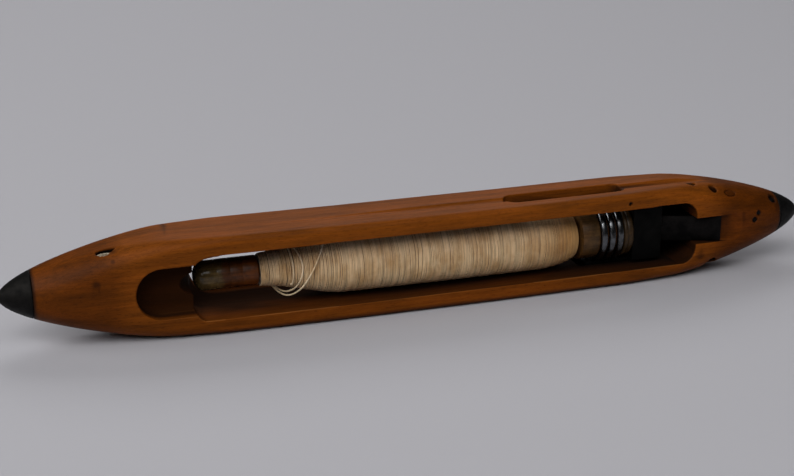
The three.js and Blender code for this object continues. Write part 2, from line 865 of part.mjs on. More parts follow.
// A spring arm whose inner face is fluted to match the rings. The flutes run straight from
// the front to the back, so that the rings can leave.
function jawArm(up) {
  const root = jawHeadHeight / 2 + seatGap;
  const inner = ringRadius - ringFoot + runningGap;
  const fluteLeft = ringFirstX - ringWidth / 2 - runningGap;
  const fluteRight = ringsRight + runningGap;
  const fluteSteps = 24;
  const profile = [[armTip, inner + armLead]];
  for (let step = 0; step <= fluteSteps; step++) {
    const x = fluteLeft + ((fluteRight - fluteLeft) * step) / fluteSteps;
    profile.push([x, Math.max(inner, ringGauge(x, runningGap))]);
  }
  profile.push([jawBlockLeft, root]);
  profile.push([armRoot, root]);
  profile.push([armRoot, armOuter]);
  profile.push([armTip + armLead, armOuter]);
  profile.push([armTip, armOuter - armLead]);
  const outline = profile.map(([x, height]) => [x, pirnZ + up * height]);
  return deepPrism(outline, armFront, armBack);
}

function jawBolt() {
  const headTop = boltHeadBottom + boltHeadHeight;
  const head = toSolid(uprightRod(boltX, boltY, boltHeadBottom, headTop, boltHeadDiameter));
  const joinDepth = 1;
  const shank = toSolid(uprightRod(boltX, boltY, headTop - joinDepth, boltTop, boltDiameter));
  const slot = block(
    new THREE.Vector3(boltX - boltHeadDiameter, boltY - slotWidth / 2, boltHeadBottom - slotDepth),
    new THREE.Vector3(boltX + boltHeadDiameter, boltY + slotWidth / 2, boltHeadBottom + slotDepth),
  );
  return toGeometry(head.add(shank).subtract(toSolid(slot)));
}

function boltWasher() {
  const bottom = boltHeadBottom + boltHeadHeight + seatGap;
  const disc = uprightRod(boltX, boltY, bottom, bottom + washerThickness, boltHeadDiameter);
  const hole = uprightRod(boltX, boltY, 0, bodyWidth, boltDiameter + 2 * seatGap);
  return toGeometry(toSolid(disc).subtract(toSolid(hole)));
}

// A wooden plug, cut off level with the body.
function sidePlug() {
  const outer = loft(bodyStations().map(bodyRing));
  return toGeometry(toSolid(plugRod(0)).intersect(toSolid(outer)));
}

function brad({ x, z, diameter, length }) {
  const surface = frontSurface(x, z) + bradSunk;
  const inner = new THREE.Vector3(x, surface + length, z);
  return rod(new THREE.Vector3(x, surface, z), inner, diameter, pinSides);
}

// The turned wooden pirn: a grooved head, a thin barrel and a stout bored butt.
function pirnWood() {
  const profile = [[pirnLeft, 0]];
  const noseSteps = 5;
  for (let step = 1; step <= noseSteps; step++) {
    const angle = (step / noseSteps) * quarterTurn;
    const x = pirnLeft + headNoseReach * (1 - Math.cos(angle));
    profile.push([x, headRadius * Math.sin(angle)]);
  }
  for (const distance of headGrooves) {
    const x = pirnLeft + distance;
    profile.push([x - headGrooveWidth / 2, headRadius]);
    profile.push([x, headRadius - headGrooveDepth]);
    profile.push([x + headGrooveWidth / 2, headRadius]);
  }
  const seat = ringRadius - ringFoot - ringSeatDepth - seatGap;
  const seatLeft = ringFirstX - ringWidth / 2 - seatGap;
  const seatRight = ringsRight + seatGap;
  profile.push([headRight - turnedEdge, headRadius]);
  profile.push([headRight, headRadius - turnedEdge]);
  profile.push([headRight, barrelRadius]);
  profile.push([coneLeft, barrelRadius]);
  profile.push([coneRight, buttRadius]);
  profile.push([seatLeft, buttRadius]);
  profile.push([seatLeft, seat]);
  profile.push([seatRight, seat]);
  profile.push([flangeLeft, flangeRadius - turnedEdge]);
  profile.push([flangeLeft + turnedEdge, flangeRadius]);
  profile.push([flangeRight - turnedEdge, flangeRadius]);
  profile.push([flangeRight, bandRadius - turnedEdge]);
  profile.push([flangeRight + turnedEdge, bandRadius]);
  profile.push([pirnRight - 2 * turnedEdge, bandRadius]);
  profile.push([pirnRight, bandRadius - 2 * turnedEdge]);
  profile.push([pirnRight, buttBoreDiameter / 2]);
  profile.push([pirnRight - buttBoreDepth, buttBoreInner / 2]);
  profile.push([pirnRight - buttBoreDepth, 0]);
  return turned(profile);
}

// A half-round steel ring.
function pirnRing(index) {
  const x = ringFirstX + index * ringPitch;
  const half = ringWidth / 2;
  const foot = ringRadius - ringFoot;
  const inside = ringRadius - ringFoot - ringSeatDepth;
  const steps = 6;
  const profile = [
    [x + half, inside],
    [x - half, inside],
  ];
  for (let step = 0; step <= steps; step++) {
    const angle = (step / steps) * Math.PI;
    profile.push([x - half * Math.cos(angle), foot + ringFoot * Math.sin(angle)]);
  }
  profile.push([x + half, inside]);
  return turned(profile);
}

// Outer radius of the wound thread at a place along the pirn.
function woundRadius(x) {
  if (x > shoulderLeft) {
    const t = Math.min((x - shoulderLeft) / (shoulderRight - shoulderLeft), 1);
    return shoulderFoot + (threadRadius - shoulderFoot) * Math.sqrt(1 - t * t);
  }
  const t = (x - threadLeft) / (threadFullLeft - threadLeft);
  return threadLeftRadius + (threadRadius - threadLeftRadius) * smooth(t);
}

// The thread's inner layers, as one plain form round the barrel.
function threadCore() {
  const under = threadDiameter + seatGap;
  const inside = barrelRadius + seatGap;
  const profile = [[coreLeft, inside]];
  const taperSteps = 8;
  const shoulderSteps = 8;
  for (let step = 0; step <= taperSteps; step++) {
    const x = coreLeft + ((threadFullLeft - coreLeft) * step) / taperSteps;
    profile.push([x, woundRadius(x) - under]);
  }
  for (let step = 0; step <= shoulderSteps; step++) {
    const t = Math.sin((step / shoulderSteps) * quarterTurn);
    const x = shoulderLeft + (coreRight - shoulderLeft) * t;
    profile.push([x, woundRadius(x) - under]);
  }
  profile.push([coreRight, inside]);
  profile.push([coreLeft, inside]);
  return turned(profile);
}

// The outer layer: one tube that winds along the core. Both ends turn straight down to the
// barrel.
function windingPath() {
  const half = threadDiameter / 2;
  const total = windingLoops * stepsPerLoop;
  const bendSteps = 4;
  const places = [];
  const at = (turns) => {
    const x = threadLeft + (windingRight - threadLeft) * (turns / windingLoops);
    return { x, angle: turns * 2 * Math.PI, radius: woundRadius(x) - half };
  };
  const ends = [
    { turns: 0, way: -1 },
    { turns: windingLoops, way: 1 },
  ];
  const tails = ends.map(({ turns, way }) => {
    const { x, angle, radius } = at(turns);
    const outward = aroundPirn(0, angle, 1).sub(aroundPirn(0, angle, 0));
    const along = aroundPirn(0, angle + quarterTurn, 1).sub(aroundPirn(0, angle + quarterTurn, 0));
    along.multiplyScalar(way);
    const start = aroundPirn(x, angle, radius);
    const tail = [];
    for (let step = 1; step <= bendSteps; step++) {
      const turn = (step / bendSteps) * quarterTurn;
      const place = start.clone();
      place.addScaledVector(along, endBend * Math.sin(turn));
      place.addScaledVector(outward, -endBend * (1 - Math.cos(turn)));
      const heading = along.clone().multiplyScalar(Math.cos(turn));
      heading.addScaledVector(outward, -Math.sin(turn));
      const normal = outward.clone().multiplyScalar(Math.cos(turn));
      normal.addScaledVector(along, Math.sin(turn));
      tail.push({ place, heading: heading.multiplyScalar(way), normal });
    }
    const last = tail[bendSteps - 1];
    const drop = radius - endBend - barrelRadius - seatGap;
    const place = last.place.clone().addScaledVector(outward, -drop);
    tail.push({ place, heading: last.heading.clone(), normal: last.normal.clone() });
    return tail;
  });
  places.push(...tails[0].reverse());
  for (let step = 0; step <= total; step++) {
    const { x, angle, radius } = at(step / stepsPerLoop);
    const place = aroundPirn(x, angle, radius);
    const normal = aroundPirn(0, angle, 1).sub(aroundPirn(0, angle, 0));
    const heading = aroundPirn(0, angle + quarterTurn, 1).sub(aroundPirn(0, angle + quarterTurn, 0));
    places.push({ place, heading, normal });
  }
  places.push(...tails[1]);
  return places;
}

// The least gap between two turns that lie side by side, measured on the path's points.
function leastWindingGap(places) {
  let least = Infinity;
  for (let first = 0; first < places.length; first++) {
    for (let second = first + stepsPerLoop / 2; second < places.length; second++) {
      least = Math.min(least, places[first].place.distanceTo(places[second].place));
    }
  }
  return least - threadDiameter;
}

function threadWinding() {
  const places = windingPath();
  console.log("least gap between turns of the winding, mm:", leastWindingGap(places).toFixed(2));
  const rings = places.map(({ place, heading, normal }) => {
    const side = new THREE.Vector3().crossVectors(heading, normal).normalize();
    const ring = [];
    for (let i = 0; i < threadSides; i++) {
      const angle = (i / threadSides) * 2 * Math.PI;
      const point = place.clone();
      point.addScaledVector(normal, (threadDiameter / 2) * Math.cos(angle));
      point.addScaledVector(side, (threadDiameter / 2) * Math.sin(angle));
      ring.push(point);
    }
    return ring;
  });
  return loft(rings);
}

// The slack thread that hangs round the pirn's thin end. Each point is a place along the pirn,
// an angle from the top towards the open face, and a lift over the wound thread.
const loosePoints = [
  [-50.4, -62, -1.2],
  [-50.4, -61.9, -0.2],
  [-50.5, -58, 1.6],
  [-51, -40, 2.4],
  [-52.2, -8, 1.6],
  [-53.8, 30, 1.4],
  [-58.2, 65, 1.6],
  [-62.5, 98, 1.9],
  [-66.6, 140, 2.4],
  [-71.4, 172, 4.6],
  [-76.2, 202, 3.6],
  [-77.6, 240, 1.9],
  [-74.6, 290, 1.5],
  [-70.8, 335, 1.2],
  [-67.9, 379, 1.2],
  [-65.4, 420, 1.1],
  [-65.4, 452, 1.0],
  [-67.9, 494, 1.2],
  [-71.8, 527, 2.6],
  [-75.4, 556, 2.4],
  [-76, 600, 1.9],
  [-73.8, 650, 2.5],
  [-71, 698, 2.4],
  [-70.2, 745, 1.5],
  [-69.5, 785, 1.1],
  [-69.6, 820, 1.4],
  [-70.1, 844, 1.3],
  [-70.1, 848.9, -0.2],
  [-70.1, 849, -1.2],
];

function looseThread() {
  const points = loosePoints.map(([x, degrees, lift]) =>
    aroundPirn(x, THREE.MathUtils.degToRad(degrees), woundRadius(x) + lift),
  );
  const path = new THREE.CatmullRomCurve3(points, false, "centripetal");
  const section = new THREE.Shape();
  for (let i = 0; i < looseSides; i++) {
    const angle = (i / looseSides) * 2 * Math.PI;
    const along = (looseDiameter / 2) * Math.cos(angle);
    const across = (looseDiameter / 2) * Math.sin(angle);
    if (i === 0) section.moveTo(along, across);
    else section.lineTo(along, across);
  }
  console.log("length of the loose thread, mm:", path.getLength().toFixed(1));
  return new THREE.ExtrudeGeometry(section, { steps: looseSteps, extrudePath: path });
}

// Finishes
const finishes = {
  oiledWood: { color: 0x8a5a2e, roughness: 0.45, metalness: 0 },
  turnedWood: { color: 0x5a3a20, roughness: 0.4, metalness: 0 },
  blackSteel: { color: 0x22201f, roughness: 0.5, metalness: 0.8 },
  brightSteel: { color: 0xb9bcc0, roughness: 0.3, metalness: 1 },
  castIron: { color: 0x2b2826, roughness: 0.6, metalness: 0.7 },
  porcelain: { color: 0xe6dcc8, roughness: 0.2, metalness: 0 },
  cotton: { color: 0xd9c8a2, roughness: 0.9, metalness: 0 },
};

const shuttle = new THREE.Group();

function addPiece(name, geometry, finish) {
  const mesh = new THREE.Mesh(geometry, new THREE.MeshStandardMaterial(finishes[finish]));
  mesh.name = name;
  shuttle.add(mesh);
}

addPiece("shuttle_body", shuttleBody(), "oiledWood");
addPiece("tip_left", steelTip(-1), "blackSteel");
addPiece("tip_right", steelTip(1), "blackSteel");
addPiece("tip_pin_left", tipPin(-1), "blackSteel");
addPiece("tip_pin_right", tipPin(1), "blackSteel");
addPiece("thread_eye", threadEye(), "porcelain");
addPiece("jaw_block", jawBlock(), "castIron");
addPiece("jaw_arm_upper", jawArm(1), "castIron");
addPiece("jaw_arm_lower", jawArm(-1), "castIron");
addPiece("incline_plate", inclinePlate(), "castIron");
addPiece("jaw_bolt", jawBolt(), "blackSteel");
addPiece("bolt_washer", boltWasher(), "blackSteel");
addPiece("side_plug", sidePlug(), "oiledWood");
for (const nail of brads) addPiece(nail.name, brad(nail), "blackSteel");
addPiece("pirn", pirnWood(), "turnedWood");
for (let ring = 0; ring < ringCount; ring++) {
  addPiece("pirn_ring_" + (ring + 1), pirnRing(ring), "brightSteel");
}
addPiece("thread_core", threadCore(), "cotton");
addPiece("thread_winding", threadWinding(), "cotton");
addPiece("loose_thread", looseThread(), "cotton");

export default shuttle;
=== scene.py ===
import json
import math
import random

import bpy
import numpy as np
from mathutils import Matrix, Vector, noise

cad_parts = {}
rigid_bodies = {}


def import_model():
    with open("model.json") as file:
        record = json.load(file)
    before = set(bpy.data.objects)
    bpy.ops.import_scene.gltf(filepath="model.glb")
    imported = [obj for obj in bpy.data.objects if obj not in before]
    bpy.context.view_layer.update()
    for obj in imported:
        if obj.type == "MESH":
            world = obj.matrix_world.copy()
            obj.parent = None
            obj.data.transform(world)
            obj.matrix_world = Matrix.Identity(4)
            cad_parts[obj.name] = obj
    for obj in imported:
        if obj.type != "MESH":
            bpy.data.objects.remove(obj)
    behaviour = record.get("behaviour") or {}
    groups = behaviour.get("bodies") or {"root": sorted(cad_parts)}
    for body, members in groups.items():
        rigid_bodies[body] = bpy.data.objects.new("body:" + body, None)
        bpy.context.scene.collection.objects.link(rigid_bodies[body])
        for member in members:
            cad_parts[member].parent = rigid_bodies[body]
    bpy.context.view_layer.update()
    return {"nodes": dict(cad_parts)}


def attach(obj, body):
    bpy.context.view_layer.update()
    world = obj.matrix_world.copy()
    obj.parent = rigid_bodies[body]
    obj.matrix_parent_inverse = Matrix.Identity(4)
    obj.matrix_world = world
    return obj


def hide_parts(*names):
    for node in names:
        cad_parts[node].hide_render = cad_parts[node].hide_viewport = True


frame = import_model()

mm = 0.001
random.seed(7)


# Selection, modifiers and copies

def deselectAll():
    if bpy.context.object and bpy.context.object.mode != "OBJECT":
        bpy.ops.object.mode_set(mode="OBJECT")
    bpy.ops.object.select_all(action="DESELECT")


def makeActive(piece):
    deselectAll()
    piece.select_set(True)
    bpy.context.view_layer.objects.active = piece


def applyModifier(piece, kind, **settings):
    modifier = piece.modifiers.new(kind, kind)
    for name, value in settings.items():
        setattr(modifier, name, value)
    makeActive(piece)
    bpy.ops.object.modifier_apply(modifier=modifier.name)


def mergeAndFaceOut(piece):
    makeActive(piece)
    bpy.ops.object.mode_set(mode="EDIT")
    bpy.ops.mesh.select_all(action="SELECT")
    bpy.ops.mesh.remove_doubles(threshold=0.002 * mm)
    bpy.ops.mesh.normals_make_consistent(inside=False)
    bpy.ops.object.mode_set(mode="OBJECT")


def copyNode(node, name):
    piece = bpy.data.objects.new(name, frame["nodes"][node].data.copy())
    bpy.context.scene.collection.objects.link(piece)
    piece.data.materials.clear()
    mergeAndFaceOut(piece)
    return piece


def smoothShade(piece, angle=40):
    makeActive(piece)
    bpy.ops.object.shade_smooth_by_angle(angle=math.radians(angle))


def dress(piece, material, body, nodes=()):
    piece.data.materials.clear()
    piece.data.materials.append(material)
    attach(piece, body)
    if nodes:
        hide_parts(*nodes)


# Colours and nodes

def hexColor(text):
    channels = [int(text[i:i + 2], 16) / 255 for i in (1, 3, 5)]
    linear = [c / 12.92 if c <= 0.04045 else ((c + 0.055) / 1.055) ** 2.4 for c in channels]
    return (*linear, 1)


def addNode(tree, kind, options=None, inputs=None, stops=None):
    node = tree.nodes.new("ShaderNode" + kind)
    for name, value in (options or {}).items():
        setattr(node, name, value)
    for name, value in (inputs or {}).items():
        if isinstance(value, bpy.types.NodeSocket):
            tree.links.new(value, node.inputs[name])
        else:
            node.inputs[name].default_value = value
    if stops:
        ramp = node.color_ramp
        while len(ramp.elements) < len(stops):
            ramp.elements.new(0.5)
        for element, (place, color) in zip(ramp.elements, stops):
            element.position = place
            element.color = color
    return node


def newMaterial(name):
    material = bpy.data.materials.new(name)
    material.use_nodes = True
    tree = material.node_tree
    tree.nodes.clear()
    output = addNode(tree, "OutputMaterial")
    shader = addNode(tree, "BsdfPrincipled")
    tree.links.new(shader.outputs["BSDF"], output.inputs["Surface"])
    return material, tree, shader


def grey(value):
    return (value, value, value, 1)


def mapped(tree, scale, turn=(0, 0, 0)):
    place = addNode(tree, "TexCoord").outputs["Object"]
    inputs = {"Vector": place, "Scale": scale, "Rotation": turn}
    return addNode(tree, "Mapping", inputs=inputs).outputs["Vector"]


def mixColor(tree, blend, amount, first, second):
    node = addNode(tree, "Mix", {"data_type": "RGBA", "blend_type": blend})
    for index, value in ((0, amount), (6, first), (7, second)):
        if isinstance(value, bpy.types.NodeSocket):
            tree.links.new(value, node.inputs[index])
        else:
            node.inputs[index].default_value = value
    return node.outputs[2]


# Camera

cameraSet = {
    "place": (-232.98, -679.23, 282.26),  # mm
    "backward": (-0.28823, -0.89880, 0.33030),
    "roll": -0.196,  # degrees
    "lens": 70.79,
}


def addCamera():
    data = bpy.data.cameras.new("camera")
    data.lens = cameraSet["lens"]
    data.sensor_width = 36
    data.clip_start = 0.01
    data.clip_end = 60
    camera = bpy.data.objects.new("camera", data)
    bpy.context.scene.collection.objects.link(camera)
    back = Vector(cameraSet["backward"]).normalized()
    right = Vector((0, 0, 1)).cross(back).normalized()
    up = back.cross(right)
    roll = math.radians(cameraSet["roll"])
    rolledRight = math.cos(roll) * right + math.sin(roll) * up
    rolledUp = math.cos(roll) * up - math.sin(roll) * right
    turn = Matrix((rolledRight, rolledUp, back)).transposed().to_4x4()
    camera.matrix_world = Matrix.Translation(Vector(cameraSet["place"]) * mm) @ turn
    bpy.context.scene.camera = camera


addCamera()
print("camera placed")


# Materials

woodSet = {
    "pale": "#954d12",
    "middle": "#82440d",
    "dark": "#65350a",
    # painted shade, partly grime, in the openings and bores
    "inside": "#1d0d03",
    "edge": "#b87a40",  # painted highlight along the rounded lower edge of the opening, partly paler worn wood
    "darkening": "#a8a08c",  # multiplies the wood darker on the noses, the lower rail and the top face
    "streakAcross": 0.8,  # mm between streaks
    "streakLength": 16,  # mm
    "figureAcross": 6,  # mm between broad bands
    "poreWidth": 0.3,  # mm, drawn wider than the real 0.1 so that it shows
    "streakDepth": 0.8,
    "poreDepth": 0.55,
    "edgeShare": 0.4,
    "stainAndShade": "#0d0704",  # oil-soaked marks, and painted shade in the bores, the opening and along the bottom edge
    "roughness": 0.48,
    "insideRougher": 0.45,
    "specular": 0.068,
    "bumpStrength": 0.25,
    "bumpHeight": 0.12,  # mm
}


def oiledDogwood():
    # Close-grained wood, planed and soaked in loom oil: a deep red-brown with a low, even sheen
    material, tree, shader = newMaterial("oiledDogwood")
    across = 1 / (woodSet["streakAcross"] * mm)
    along = 1 / (woodSet["streakLength"] * mm)
    streaks = addNode(tree, "TexNoise", inputs={
        "Vector": mapped(tree, (along, across, across)),
        "Scale": 1, "Detail": 4, "Roughness": 0.6, "Distortion": 0.2,
    }).outputs["Fac"]
    broad = 1 / (woodSet["figureAcross"] * mm)
    figure = addNode(tree, "TexNoise", inputs={
        "Vector": mapped(tree, (broad / 12, broad, broad)),
        "Scale": 1, "Detail": 4, "Roughness": 0.6, "Distortion": 0.4,
    }).outputs["Fac"]
    pore = 1 / (woodSet["poreWidth"] * mm)
    pores = addNode(tree, "TexNoise", inputs={
        "Vector": mapped(tree, (pore / 9, pore, pore)), "Scale": 1, "Detail": 1,
    }).outputs["Fac"]
    base = addNode(tree, "ValToRGB", inputs={"Fac": figure}, stops=[
        (0.28, hexColor(woodSet["dark"])), (0.5, hexColor(woodSet["middle"])),
        (0.74, hexColor(woodSet["pale"]))]).outputs["Color"]
    streakTone = addNode(tree, "ValToRGB", inputs={"Fac": streaks}, stops=[
        (0.3, grey(0.68)), (0.7, grey(1.1))]).outputs["Color"]
    color = mixColor(tree, "MULTIPLY", woodSet["streakDepth"], base, streakTone)
    poreTone = addNode(tree, "ValToRGB", inputs={"Fac": pores}, stops=[
        (0.32, grey(0.4)), (0.42, grey(1))]).outputs["Color"]
    color = mixColor(tree, "MULTIPLY", woodSet["poreDepth"], color, poreTone)
    # Painted shade, partly grime, in the openings and bores
    inside = addNode(tree, "Attribute", {"attribute_name": "inside"}).outputs["Fac"]
    color = mixColor(tree, "MIX", inside, color, hexColor(woodSet["inside"]))
    darkening = addNode(tree, "Attribute", {"attribute_name": "darkening"}).outputs["Fac"]
    color = mixColor(tree, "MULTIPLY", darkening, color, hexColor(woodSet["darkening"]))
    # Painted highlight along the rounded lower edge of the opening, partly paler worn wood
    edgeWearAndHighlight = addNode(tree, "Attribute", {"attribute_name": "edgeWearAndHighlight"}).outputs["Fac"]
    share = {0: edgeWearAndHighlight, 1: woodSet["edgeShare"]}
    paler = addNode(tree, "Math", {"operation": "MULTIPLY"}, share).outputs[0]
    color = mixColor(tree, "MIX", paler, color, hexColor(woodSet["edge"]))
    # Real stains and marks, with painted shade in the bores, the opening and along the bottom edge
    stainAndShade = addNode(tree, "Attribute", {"attribute_name": "stainAndShade"}).outputs["Fac"]
    color = mixColor(tree, "MIX", stainAndShade, color, hexColor(woodSet["stainAndShade"]))
    tree.links.new(color, shader.inputs["Base Color"])
    worn = addNode(tree, "MapRange", inputs={
        "Value": streaks, "From Min": 0.3, "From Max": 0.7,
        "To Min": woodSet["roughness"] + 0.08, "To Max": woodSet["roughness"] - 0.05,
    }).outputs["Result"]
    terms = {0: inside, 1: woodSet["insideRougher"], 2: worn}
    rough = addNode(tree, "Math", {"operation": "MULTIPLY_ADD"}, terms)
    tree.links.new(rough.outputs[0], shader.inputs["Roughness"])
    shader.inputs["Specular IOR Level"].default_value = woodSet["specular"]
    bump = addNode(tree, "Bump", inputs={
        "Strength": woodSet["bumpStrength"], "Distance": woodSet["bumpHeight"] * mm,
        "Height": streaks})
    tree.links.new(bump.outputs["Normal"], shader.inputs["Normal"])
    return material


pirnWoodSet = {
    "reach": (-0.1155, 0.1062),  # m, from the thin end to the butt
    "tones": (  # share of the reach and colour
        (0.0, "#1a150c"), (0.05, "#665230"), (0.07, "#644e2c"), (0.078, "#59300f"),
        (0.14, "#6a360e"), (0.87, "#66421d"), (0.92, "#533b1e"), (0.965, "#64390f"),
        (0.985, "#3f2c13")),
    "smudge": 5,  # mm, size of the uneven ends of the tones
    "smudgeShift": 6,  # mm
    "grainAcross": 0.8,  # mm
    "grainLength": 14,  # mm
    "blotch": 3,  # mm, size of the worn spots in the varnish
    "depth": 0.8,
    "headRoughness": 0.14,
    "buttRoughness": 0.42,
    "specular": 0.3,
    "bumpStrength": 0.3,
    "bumpHeight": 0.1,  # mm
}


def varnishedPirnWood():
    # Turned and varnished beech: olive and glossy at the thin end, red-brown by the thread,
    # and worn dull at the butt
    w = pirnWoodSet
    material, tree, shader = newMaterial("varnishedPirnWood")
    place = addNode(tree, "TexCoord").outputs["Object"]
    along = addNode(tree, "SeparateXYZ", inputs={"Vector": place}).outputs["X"]
    smudge = addNode(tree, "TexNoise", inputs={
        "Vector": place, "Scale": 1 / (w["smudge"] * mm), "Detail": 3}).outputs["Fac"]
    terms = {0: smudge, 1: w["smudgeShift"] * mm, 2: along}
    shifted = addNode(tree, "Math", {"operation": "MULTIPLY_ADD"}, terms)
    reach = addNode(tree, "MapRange", inputs={
        "Value": shifted.outputs[0], "From Min": w["reach"][0], "From Max": w["reach"][1],
    }).outputs["Result"]
    stops = [(share, hexColor(tone)) for share, tone in w["tones"]]
    color = addNode(tree, "ValToRGB", inputs={"Fac": reach}, stops=stops).outputs["Color"]
    across = 1 / (w["grainAcross"] * mm)
    grain = addNode(tree, "TexNoise", inputs={
        "Vector": mapped(tree, (1 / (w["grainLength"] * mm), across, across)),
        "Scale": 1, "Detail": 4}).outputs["Fac"]
    tone = addNode(tree, "ValToRGB", inputs={"Fac": grain}, stops=[
        (0.35, grey(0.5)), (0.62, grey(1.0))]).outputs["Color"]
    color = mixColor(tree, "MULTIPLY", w["depth"], color, tone)
    blotch = addNode(tree, "TexNoise", inputs={
        "Vector": place, "Scale": 1 / (w["blotch"] * mm), "Detail": 4, "Roughness": 0.65,
    }).outputs["Fac"]
    blotchTone = addNode(tree, "ValToRGB", inputs={"Fac": blotch}, stops=[
        (0.38, grey(0.5)), (0.58, grey(1.0))]).outputs["Color"]
    color = mixColor(tree, "MULTIPLY", w["depth"], color, blotchTone)
    tree.links.new(color, shader.inputs["Base Color"])
    rough = addNode(tree, "MapRange", inputs={
        "Value": reach, "From Min": 0.05, "From Max": 0.08,
        "To Min": w["headRoughness"], "To Max": w["buttRoughness"]}).outputs["Result"]
    tree.links.new(rough, shader.inputs["Roughness"])
    shader.inputs["Specular IOR Level"].default_value = w["specular"]
    bump = addNode(tree, "Bump", inputs={
        "Strength": w["bumpStrength"], "Distance": w["bumpHeight"] * mm, "Height": grain})
    tree.links.new(bump.outputs["Normal"], shader.inputs["Normal"])
    return material


metalSet = {  # pale and dark colour, roughness, size of the worn patches in mm, metallic
    # Forged and blackened points and pins: dull dark grey with a broad, weak shine
    "blackenedSteel": ("#1a1816", "#100f0e", 0.6, 4, 0.85),
    # Blued spring steel, its colour darkened to near black as painted shade of the opening
    "bluedSpringSteelShaded": ("#0e0d0c", "#050505", 0.6, 5, 0.85),
    # Plate that the pirns rub as they go out: its colour darkened as painted shade of the opening,
    # with a faint grey shine
    "rubbedPlateSteel": ("#1c1918", "#0a0909", 0.52, 6, 0.9),
    # Rings polished by the jaws: sharp bright lines on dark reflections
    "polishedRingSteel": ("#6d6f72", "#3b3a39", 0.22, 3, 1.0),
}
scratchSet = {"width": 0.4, "length": 6, "depth": 0.03, "strength": 0.35}  # mm but the last


def wornSteel(name):
    # Patches of wear and tarnish over fine rubbed scratches
    pale, dark, roughness, patch, metallic = metalSet[name]
    s = scratchSet
    material, tree, shader = newMaterial(name)
    place = addNode(tree, "TexCoord").outputs["Object"]
    patches = addNode(tree, "TexNoise", inputs={
        "Vector": place, "Scale": 1 / (patch * mm), "Detail": 5, "Roughness": 0.65}).outputs["Fac"]
    around = 1 / (s["length"] * mm)
    scratches = addNode(tree, "TexNoise", inputs={
        "Vector": mapped(tree, (1 / (s["width"] * mm), around, around)),
        "Scale": 1, "Detail": 2}).outputs["Fac"]
    color = addNode(tree, "ValToRGB", inputs={"Fac": patches}, stops=[
        (0.35, hexColor(dark)), (0.65, hexColor(pale))]).outputs["Color"]
    tree.links.new(color, shader.inputs["Base Color"])
    rough = addNode(tree, "MapRange", inputs={
        "Value": patches, "From Min": 0.3, "From Max": 0.7,
        "To Min": roughness + 0.12, "To Max": roughness - 0.08}).outputs["Result"]
    tree.links.new(rough, shader.inputs["Roughness"])
    shader.inputs["Metallic"].default_value = metallic
    bump = addNode(tree, "Bump", inputs={
        "Strength": s["strength"], "Distance": s["depth"] * mm, "Height": scratches})
    tree.links.new(bump.outputs["Normal"], shader.inputs["Normal"])
    return material


porcelainSet = {"clean": "#cdc1ab", "dirty": "#8d7c66", "dirtSize": 2.5, "roughness": 0.18}


def glazedPorcelain():
    # Glazed porcelain thread guide: smooth, cream, with brown thread-rubbed dirt
    p = porcelainSet
    material, tree, shader = newMaterial("glazedPorcelain")
    place = addNode(tree, "TexCoord").outputs["Object"]
    dirt = addNode(tree, "TexNoise", inputs={
        "Vector": place, "Scale": 1 / (p["dirtSize"] * mm), "Detail": 3}).outputs["Fac"]
    color = addNode(tree, "ValToRGB", inputs={"Fac": dirt}, stops=[
        (0.35, hexColor(p["dirty"])), (0.6, hexColor(p["clean"]))]).outputs["Color"]
    tree.links.new(color, shader.inputs["Base Color"])
    shader.inputs["Roughness"].default_value = p["roughness"]
    return material


yarnSet = {
    "weft": ("#f3d3a3", "#d4aa74"),  # clean and greasy colour
    "slack": ("#ffe8c0", "#ecca98"),
    # painted shade between the turns, on the layers beneath them
    "inner": ("#7c5f3c", "#5d4526"),
    "stainAlong": 9,  # mm
    "stainAround": 14,  # mm
    "turnWidth": 0.75,  # mm, near the pitch of the turns
    "turnReach": 30,  # mm, how far a darker turn goes round
    "fibre": 0.22,  # mm, drawn wider than the real 0.02 so that it shows
    "turnDepth": 0.8,
    "paintedUpperGrey": ("#dcd9e0", 0.017, 0.034),  # painted light: the upper turns greyer, as under grey light from above; colour, and from and to in m over the floor
    "rightTint": ("#dac39c", 0.045, 0.07),  # colour, and from and to in m along the pirn
    "roughness": 0.9,
    "sheen": 0.2,
    "specular": 0.2,
    "bumpStrength": 0.5,
    "bumpHeight": 0.08,  # mm
}


def tinted(tree, color, value, tint):
    hexText, low, high = tint
    share = addNode(tree, "MapRange", inputs={
        "Value": value, "From Min": low, "From Max": high}).outputs["Result"]
    return mixColor(tree, "MULTIPLY", share, color, hexColor(hexText))


